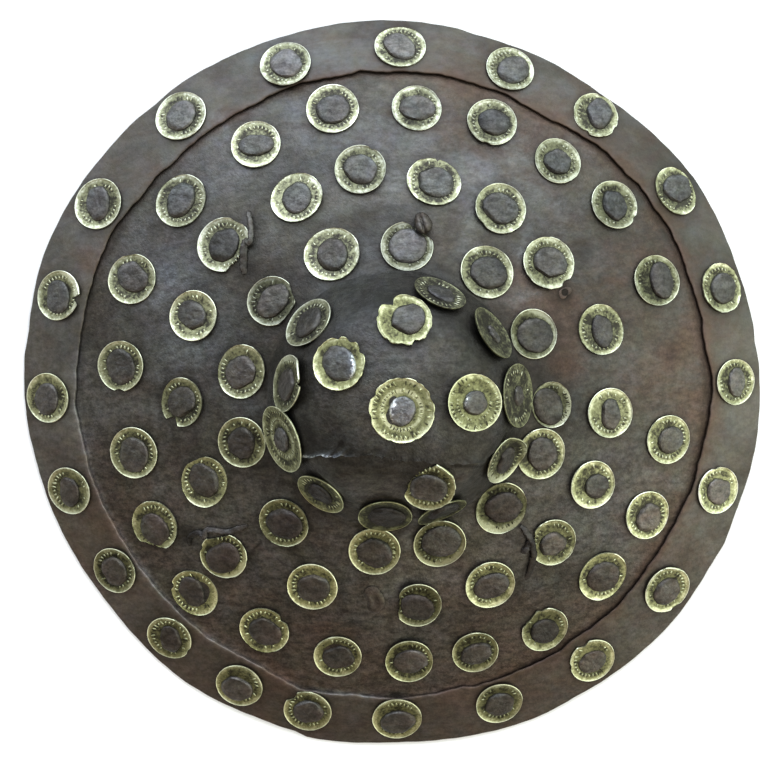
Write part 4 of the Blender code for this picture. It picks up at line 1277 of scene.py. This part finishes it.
def make_field_sheet():
    turns = all_round(FIELD_SIDES)

    def ring(reach, lift):
        """One ring: round the boss near the middle, round the shield further out."""
        centred = 1 - fade(np.array(reach), BOSS_FOOT, 0.125)
        radius = reach + (drawn_edge(turns) - MEAN_RADIUS) * fade(np.array(reach), 0.12, MEAN_RADIUS)
        x = BOSS_CENTRE[0] * centred + radius * np.cos(turns)
        y = BOSS_CENTRE[1] * centred + radius * np.sin(turns)
        points = on_face(x, y, np.full(FIELD_SIDES, lift))
        points[:, 2] = np.maximum(points[:, 2], 0.05 * MM)
        return points

    top = [*np.arange(1.2 * MM, 0.158, 1.45 * MM), 0.166, 0.175, MEAN_RADIUS]
    below = [0.1808, 0.177, *np.arange(0.172, 2 * MM, -3.2 * MM)]
    rings = [ring(reach, 0.0) for reach in top] + [ring(reach, -PLATE_THICKNESS) for reach in below]
    mesh = shell_mesh("field_sheet", np.array(rings))
    paint_sheet(mesh, FIELD_TONE_AND_SHADE, field_grime)
    finished("field_sheet", mesh, FIELD_IRON, ("field_plate",), sharp=60)


def make_rim_sheet():
    turns = all_round(BAND_SIDES)
    inner, outer = seam_radius(turns), drawn_edge(turns)
    lit = lit_lip(turns)
    # Its inner edge gapes a little, but lies close where it is lit.
    slack = 0.15 * MM * (1 + np.cos(5 * turns + 0.8) * np.cos(2 * turns)) * (1 - lit)

    def ring(share, lift, inset=0.0):
        reach = inner + (outer - inner) * share + inset
        return on_face(reach * np.cos(turns), reach * np.sin(turns), lift + slack * np.exp(-share / 0.16))

    low, high = TOUCH_GAP, TOUCH_GAP + BAND_THICKNESS
    rings = [ring(0.0, low + 0.4 * BAND_THICKNESS * (1 - lit) - 0.28 * MM * lit)]
    rings += [ring(0.0, high - 0.25 * MM), ring(0.0, high, 0.25 * MM)]
    rings += [ring(share, high) for share in np.linspace(0.05, 0.97, 15)]
    rings += [ring(1.0, high, -0.2 * MM), ring(1.0, high - 0.3 * MM), ring(1.0, low + 0.3 * MM)]
    rings += [ring(share, low) for share in (0.99, 0.8, 0.5, 0.2, 0.02)]
    mesh = shell_mesh("rim_sheet", np.array(rings), closed=True)
    paint_sheet(mesh, BAND_TONE_AND_SHADE, grime_round_counters, westward=0.25)
    finished("rim_sheet", mesh, BAND_IRON, ("rim_band",), sharp=50)


# Outline of the cover from the boss's centre, where it is torn: turns in degrees and reach in millimetres.
COVER_TEAR = (
    (-168, 58.6), (-163, 56.0), (-155, 51.0), (-151.9, 48.1), (-148.2, 40.5), (-139, 32.6), (-120.8, 24.2),
    (-104, 22.6), (-88, 23.2), (-66, 25.6), (-44.9, 35.6), (-36, 42.0), (-32.6, 45.5), (-24, 47.0),
    (-14.9, 49.6), (-9, 55.0), (-5, 58.8),
)
# Where its torn edge stands up: bearing, spread in degrees, height in millimetres.
COVER_CURLS = (
    (-152, 1.0, 1.2), (-149, 1.6, 2.4), (-145, 1.5, 2.8), (-141, 1.5, 1.8), (-36, 3, 1.2), (-41, 2, 0.9),
)


def cover_reach(turns):
    """Reach of the cover's edge: near the foot all round, and along the tear below."""
    degrees = np.degrees((turns + math.pi) % TAU - math.pi)
    bearings, reaches = np.array(COVER_TEAR).T
    torn = np.interp(degrees, bearings, reaches * MM, left=1.0, right=1.0)
    foot = BOSS_FOOT + BOSS_FOOT_LEAN * np.sin(turns) - COVER_MARGIN
    jag = ripple(turns, (53, 0, 0.22), (87, 1, 0.20), (141, 2, 0.15)) * (torn < foot)
    return np.minimum(foot + 0.5 * MM * np.cos(9 * turns), torn) + jag


def make_boss_sheet():
    turns = all_round(COVER_SIDES)
    edge = cover_reach(turns)
    curl = fade(-np.sin(turns), 0.05, 0.3) * 0.35 * MM * (1 + np.cos(23 * turns) * np.cos(7 * turns))
    for towards, spread, height in COVER_CURLS:
        away = (np.degrees(turns) - towards + 180) % 360 - 180
        curl = curl + height * MM * np.exp(-(away / spread) ** 2)

    def ring(share, lift, inset=0.0):
        reach = edge * share - inset
        x, y = BOSS_CENTRE[0] + reach * np.cos(turns), BOSS_CENTRE[1] + reach * np.sin(turns)
        return on_face(x, y, lift + curl * np.exp(-(1 - share) / 0.06))

    low, high = TOUCH_GAP, TOUCH_GAP + COVER_THICKNESS
    rings = [ring(share, high) for share in np.linspace(0.015, 0.985, 56)]
    rings += [ring(1.0, high, 0.12 * MM), ring(1.0, high - 0.3 * MM), ring(1.0, low + 0.2 * MM)]
    rings += [ring(share, low) for share in (0.985, 0.9, 0.75, 0.6, 0.45, 0.3, 0.15, 0.03)]
    mesh = shell_mesh("boss_sheet", np.array(rings))
    paint_sheet(mesh, COVER_TONE_AND_SHADE, cover_grime, seam=False)
    shine_tear(mesh)
    finished("boss_sheet", mesh, COVER_IRON, ("boss_cover",), sharp=50)


def shine_tear(mesh):
    """A painted highlight on the torn edge of the cover, bright at its left end, where it curls."""
    points = points_of(mesh)
    x, y = points[:, 0] - BOSS_CENTRE[0], points[:, 1] - BOSS_CENTRE[1]
    inside = cover_reach(np.arctan2(y, x)) - np.hypot(x, y)
    along = fade(x, -0.020, -0.028) * fade(x, -0.047, -0.042) * (y < 0)
    near = along * np.exp(-np.maximum(inside, 0.0) / TEAR_SHINE_WIDTH)
    sheen = (stored(mesh, "sheen") + 1.3 * near).astype(np.float32)
    mesh.attributes["sheen"].data.foreach_set("value", sheen)


# ---- forged bars: staples, fasteners and grip ----
BAR_CORNERS = 0.65              # 1 is a round bar, and 0 a square one
BAR_BLOWS = 0.55                # how fast its unevenness changes along it, from ring to ring


def smooth_path(knots, count):
    """Points along a smooth curve through knots (Catmull-Rom)."""
    knots = np.array(knots, float)
    padded = np.vstack([2 * knots[0] - knots[1], knots, 2 * knots[-1] - knots[-2]])
    points = []
    for spot in np.linspace(0, len(knots) - 1 - 1e-9, count):
        i = int(spot)
        t = spot - i
        a, b, c, d = padded[i:i + 4]
        curve = 2 * b + (c - a) * t + (2 * a - 5 * b + 4 * c - d) * t ** 2 + (3 * b - a - 3 * c + d) * t ** 3
        points.append(0.5 * curve)
    return np.array(points)


def squared(wave):
    return (np.sign(wave) * np.abs(wave) ** BAR_CORNERS)[:, None]


def forged_bar(name, knots, widths, depths, up, steps, sides, roughness, seed):
    """A hammered bar along a path; its width lies across up, and its section is a rounded rectangle."""
    path = smooth_path(knots, steps)
    shares = np.linspace(0, 1, steps)
    wide, deep = (np.interp(shares, np.linspace(0, 1, len(sizes)), sizes) for sizes in (widths, depths))
    turns = all_round(sides)
    phases = np.random.default_rng(seed).uniform(0, TAU, (4, 3))
    rings = []
    for i in range(steps):
        ahead = unit(path[min(i + 1, steps - 1)] - path[max(i - 1, 0)])
        across = unit(np.cross(ahead, up))
        top = np.cross(across, ahead)
        rough = sum(math.sin(waves * BAR_BLOWS * i + phase[0]) * np.sin(waves * turns + phase[1])
                    for waves, phase in enumerate(phases, start=1))
        section = wide[i] / 2 * squared(np.cos(turns)) * across + deep[i] / 2 * squared(np.sin(turns)) * top
        rings.append(path[i] + (1 + roughness * rough[:, None]) * section)
    return shell_mesh(name, np.array(rings))


# Each strap staple: its place, how pale it is, and the tails clenched over its leg on the face. A tail has
# its width and depth, and its path from the leg in millimetres.
STAPLES = (
    ((-0.0700, 0.0706), 1.60, (
        (2.6, 2.0, ((0, 0, 0.6), (1.6, -1.5, 2.4), (2.9, -0.6, 3.2), (3.1, 4.6, 3.2), (2.3, 9.4, 2.6),
                    (1.2, 13.4, 1.6), (0.8, 15.0, 0.8))),
        (3.8, 1.6, ((0, 0, 0.6), (-0.6, -2.0, 1.7), (-1.0, -4.4, 1.5), (-1.4, -9.0, 0.9), (-1.3, -13.0, 0.6),
                    (-1.1, -15.6, 0.1))))),
    ((0.0618, -0.0768), 1.20, (
        (3.0, 1.4, ((0, 0, 0.4), (1.6, 1.6, 1.2), (3.2, 3.8, 1.5), (2.1, 7.4, 1.5), (0.2, 10.4, 1.1),
                    (-2.3, 13.2, 0.2))),
        (3.2, 1.4, ((3.0, 4.6, 1.0), (4.1, 0.8, 1.6), (4.6, -2.8, 1.5), (4.0, -6.5, 0.9), (2.9, -12.0, 0.7),
                    (1.0, -17.0, 0.1))))),
    ((-0.0918, -0.0706), 0.95, (
        (2.6, 1.2, ((0, 0, 0.6), (1.8, 4.2, 1.2), (7.7, 4.1, 1.4), (13.1, 4.3, 1.2), (17.6, 6.1, 1.0),
                    (22.0, 7.8, 0.3))),
        (2.6, 1.2, ((0, 0, 0.6), (-2.2, 2.4, 1.2), (-6.0, 0.6, 1.2), (-7.6, -2.2, 0.9), (-7.4, -5.2, 0.2))))),
)
STAPLE_WIRE = (3.2, 3.0)        # width and depth before its tails were beaten flat, in millimetres
EYE_RADIUS = 3.6                # and that of its eye, whose middle hangs this far below the face
EYE_DROP = 8.0
STAPLE_UP = np.array((0.35, 0.2, 0.92))


def make_staples():
    """Each staple: an eye behind the plate, a leg through it, and tails curled over on the face."""
    eye = [(EYE_RADIUS * math.cos(a), 0.0, EYE_RADIUS * math.sin(a) - EYE_DROP)
           for a in np.radians(np.arange(30, -235, -30))]
    starts = (eye + [(0, 0, -3.2), (0, 0, -1.4)], [(0, 0, -1.0)])
    for number, (place, tone, tails) in enumerate(STAPLES, start=1):
        for which, (start, (wide, deep, tail)) in enumerate(zip(starts, tails)):
            straight = len(start) + 1
            widths = [STAPLE_WIRE[0]] * straight + [wide] * (len(tail) - 2) + [0.6 * wide]
            depths = [STAPLE_WIRE[1]] * straight + [deep] * (len(tail) - 3) + [0.7 * deep, 0.5]
            name = f"staple_{number}" + ("", "_tail")[which]
            knots = [tuple(seat(place) @ Vector([value * MM for value in knot])) for knot in (*start, *tail)]
            mesh = forged_bar(name, knots, np.array(widths) * MM, np.array(depths) * MM, STAPLE_UP,
                              (96, 40)[which], 16, 0.10, number + 5 * which)
            paint_iron(mesh, 0.2 * (tone - 1.25), 0.3 + 0.2 * which, 0.25 * which, tone * (1 - 0.3 * which))
            solids = () if which else (f"strap_staple_{number}",)
            finished(name, mesh, GRIP_IRON, solids, sharp=50)


def lump_mesh(name, place, profile, lobes, seed, cleft=0.0, drooped=0.0):
    """A turned and then beaten knob: a profile of reach and height, with its rounds pushed about.

    It may be split across its top, and may droop southwards.
    """
    phases = np.random.default_rng(seed).uniform(0, TAU, 4)
    turns = all_round(40)
    rings = []
    for reach, height in smooth_path(profile, 26)[::-1]:
        wave = 1 + lobes * np.cos(2 * turns + phases[0])
        wave = wave + 0.35 * lobes * np.cos(3 * turns + phases[1] + 0.2 * height)
        wave = wave + 0.02 * np.cos(7 * turns + phases[2] + height)
        x, y = reach * wave * np.cos(turns), reach * wave * np.sin(turns)
        split = cleft * np.exp(-((x + 0.25 * y + 0.4) / 0.7) ** 2) * fade(np.array(height), 2.0, 4.5)
        rings.append(np.stack([x, y - drooped * max(height, 0.0), height - split], axis=-1) * MM)
    return shell_mesh(name, carried(seat(place), np.array(rings)))


# The two fasteners of the grip: place, profile over the plate, lobes, cleft, droop and how pale it is.
FASTENER_BACK = ((0.4, -6.2), (3.4, -6.1), (4.2, -5.2), (2.2, -4.6))
FASTENERS = {
    "grip_fastener_upper": (
        (0.0126, 0.0792), ((1.8, 0.2), (3.4, 0.9), (4.7, 2.8), (4.4, 5.0), (2.8, 6.4), (0.4, 6.8)),
        0.15, 1.2, 0.42, 1.7),
    "grip_fastener_lower": (
        (-0.0097, -0.1003), ((1.8, 0.1), (4.6, 0.1), (5.8, 0.5), (3.6, 1.3), (0.4, 0.7)),
        0.30, 0.0, 0.0, 1.15),
}
LOST_STAPLE = (0.0805, 0.0468)
UPSET_EDGE = ((3.1, -0.5), (2.9, 0.02), (2.2, 0.20), (1.6, 0.12), (1.2, -0.1), (0.05, -0.2))


def make_grip_fasteners():
    for name, (place, profile, lobes, cleft, drooped, tone) in FASTENERS.items():
        mesh = lump_mesh(name + "_worn", place, FASTENER_BACK + profile, lobes, len(name), cleft, drooped)
        paint_iron(mesh, -0.2, 0.5, 0.0, tone)
        finished(name + "_worn", mesh, GRIP_IRON, (name,), sharp=50)


def make_lost_staple_mark():
    """Where the fourth staple was: a hole whose dark inside is painted shade, with a rusty, upset edge."""
    mesh = lump_mesh("lost_staple_mark", LOST_STAPLE, UPSET_EDGE, 0.26, 5)
    away = np.linalg.norm(points_of(mesh) - np.array(seat(LOST_STAPLE).translation), axis=1)
    paint_iron(mesh, 0.1, 1.0, fade(away, 2.1 * MM, 1.5 * MM), 0.95)
    finished("lost_staple_mark", mesh, GRIP_IRON, sharp=50)


# The grip bar from its lower end to its upper one. Widths and depths run up to its middle, and back likewise.
GRIP_ENDS = ((-0.0097, -0.1003), (0.0128, 0.0800))
GRIP_REACHES = (-0.106, -0.086, -0.067, -0.050, -0.030, 0.0, 0.030, 0.050, 0.067, 0.080, 0.0945)
GRIP_WIDTHS = (9, 18, 17.5, 17, 20, 20.8)
GRIP_DEPTHS = (1.6, 2.4, 2.8, 5.5, 8.6, 9.2)
GRIP_TAB = 0.067                # where it leaves the boss's hollow and lies against the plate
GRIP_LIFT = -(PLATE_THICKNESS + 0.6 * MM + 1.3 * MM)


def make_grip():
    """The hand grip: a flat bar that swells into a rounded hand part across the hollow of the boss."""
    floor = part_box("hand_grip")[0].z + 1.5 * MM
    lower, upper = np.array(GRIP_ENDS)
    along = unit(upper - lower)

    def spot(reach):
        """Place on the bar's line, and how high the bar lies there against the plate."""
        x, y = np.array(BOSS_CENTRE) + reach * along
        return x, y, on_face(np.array(x), np.array(y), GRIP_LIFT)[2]

    first, last = spot(-GRIP_TAB)[2], spot(GRIP_TAB)[2]
    knots = []
    for reach in GRIP_REACHES:
        x, y, z = spot(reach)
        if abs(reach) < GRIP_TAB:
            share = (1 + math.cos(math.pi * reach / GRIP_TAB)) / 2
            sag = 4.0 * MM * min(1.0, 1.6 * share)
            z = first + (last - first) * (reach + GRIP_TAB) / (2 * GRIP_TAB) - sag
        knots.append((x, y, max(z, floor)))
    widths, depths = (np.array(half + half[-2::-1]) * MM for half in (GRIP_WIDTHS, GRIP_DEPTHS))
    mesh = forged_bar("grip_bar", knots, widths, depths, np.array((0.0, 0.0, 1.0)), 110, 36, 0.012, 21)
    paint_iron(mesh)
    finished("grip_bar", mesh, GRIP_IRON, ("hand_grip",), sharp=50)


# ---- stage, light and camera ----
FLOOR_REACH = 3.0
FLOOR_GREYS = ((0.90,) * 3, (0.93,) * 3)
ROOM = (0.06, 0.06, 0.05, 1)
LAMP = (70, 45, 1.8)            # bearing, elevation and distance
LAMP_WIDTH = 0.8
LAMP_POWER = 3
CAMERA_PLACE = (-0.0167, 0.0330, 0.6405)
CAMERA_TURNS = ((2.8, "X"), (1.4, "Y"))     # away from straight down, in degrees
CAMERA_FILM = (36.0, 58.85)     # width and focal length, in millimetres


def make_stage():
    corners = [(-1, -1, 0), (1, -1, 0), (1, 1, 0), (-1, 1, 0)]
    floor = link("floor", mesh_of("floor", np.array(corners) * FLOOR_REACH, faces=[(0, 1, 2, 3)]))
    pale = Finish("pale floor")
    pale.look(pale.blend(pale.noise(pale.where, 3.0, 2.0), *FLOOR_GREYS), 0.9)
    floor.data.materials.append(pale.material)


def towards(around, elevation):
    """Step of one at a bearing and an elevation in degrees."""
    east, north = bearing(around)
    level, up = bearing(elevation)
    return Vector((level * east, level * north, up))


# The room's soft windows: bearing, elevation, how wide (the cosine at which it ends), and colour.
WINDOWS = (
    (0, 28, 0.55, (1.40, 1.62, 1.45)), (90, 28, 0.55, (2.56, 2.86, 3.10)),
    (135, 28, 0.55, (0.60, 0.62, 0.75)), (180, 28, 0.55, (0.34, 0.37, 0.33)),
    (225, 28, 0.55, (0.28, 0.18, 0.10)), (315, 28, 0.55, (0.62, 0.48, 0.29)),
    (0, 58, 0.70, (0.36, 0.33, 0.36)), (60, 58, 0.70, (0.46, 0.44, 0.46)),
    (300, 58, 0.70, (0.32, 0.32, 0.34)),
)


def make_light():
    """A dim room with soft windows low in the north and east, and a weak lamp."""
    world = bpy.data.worlds.new("studio")
    bpy.context.scene.world = world
    world.use_nodes = True
    net = Net(world.node_tree)
    looking = net.put("ShaderNodeTexCoord", result="Generated")
    room = net.put("ShaderNodeRGB")
    room.socket.default_value = ROOM
    for around, elevation, ends, colour in WINDOWS:
        share = net.vector_sums("DOT_PRODUCT", looking, towards(around, elevation)).eased(ends, 1.0)
        room = net.blend(1.0, room, net.blend(share, (0, 0, 0), colour), "ADD")
    net.plug(room, world.node_tree.nodes["Background"].inputs["Color"])

    data = bpy.data.lights.new("window", "AREA")
    data.shape, data.size, data.energy = "DISK", LAMP_WIDTH, LAMP_POWER
    lamp = link("window", data)
    away = towards(*LAMP[:2])
    lamp.location = LAMP[2] * away
    lamp.rotation_euler = away.to_track_quat("Z", "Y").to_euler()
    bpy.context.scene.view_settings.view_transform = "Standard"


def make_camera():
    data = bpy.data.cameras.new("camera")
    data.sensor_width, data.lens = CAMERA_FILM
    camera = link("camera", data)
    about_x, about_y = (Matrix.Rotation(math.radians(angle), 3, axis) for angle, axis in CAMERA_TURNS)
    camera.matrix_world = Matrix.Translation(CAMERA_PLACE) @ (about_x @ about_y).transposed().to_4x4()
    bpy.context.scene.camera = camera


make_camera()
make_light()
make_stage()
make_field_sheet()
make_rim_sheet()
make_boss_sheet()
for row in ROW_RIVETS:
    make_counters(row, [f"counter_{row}_{i + 1:02d}" for i in range(ROW_SIZES.get(row, 0))])
make_strokes()
for row in ROW_RIVETS:
    make_rivets(row)
make_staples()
make_grip_fasteners()
make_lost_staple_mark()
make_grip()
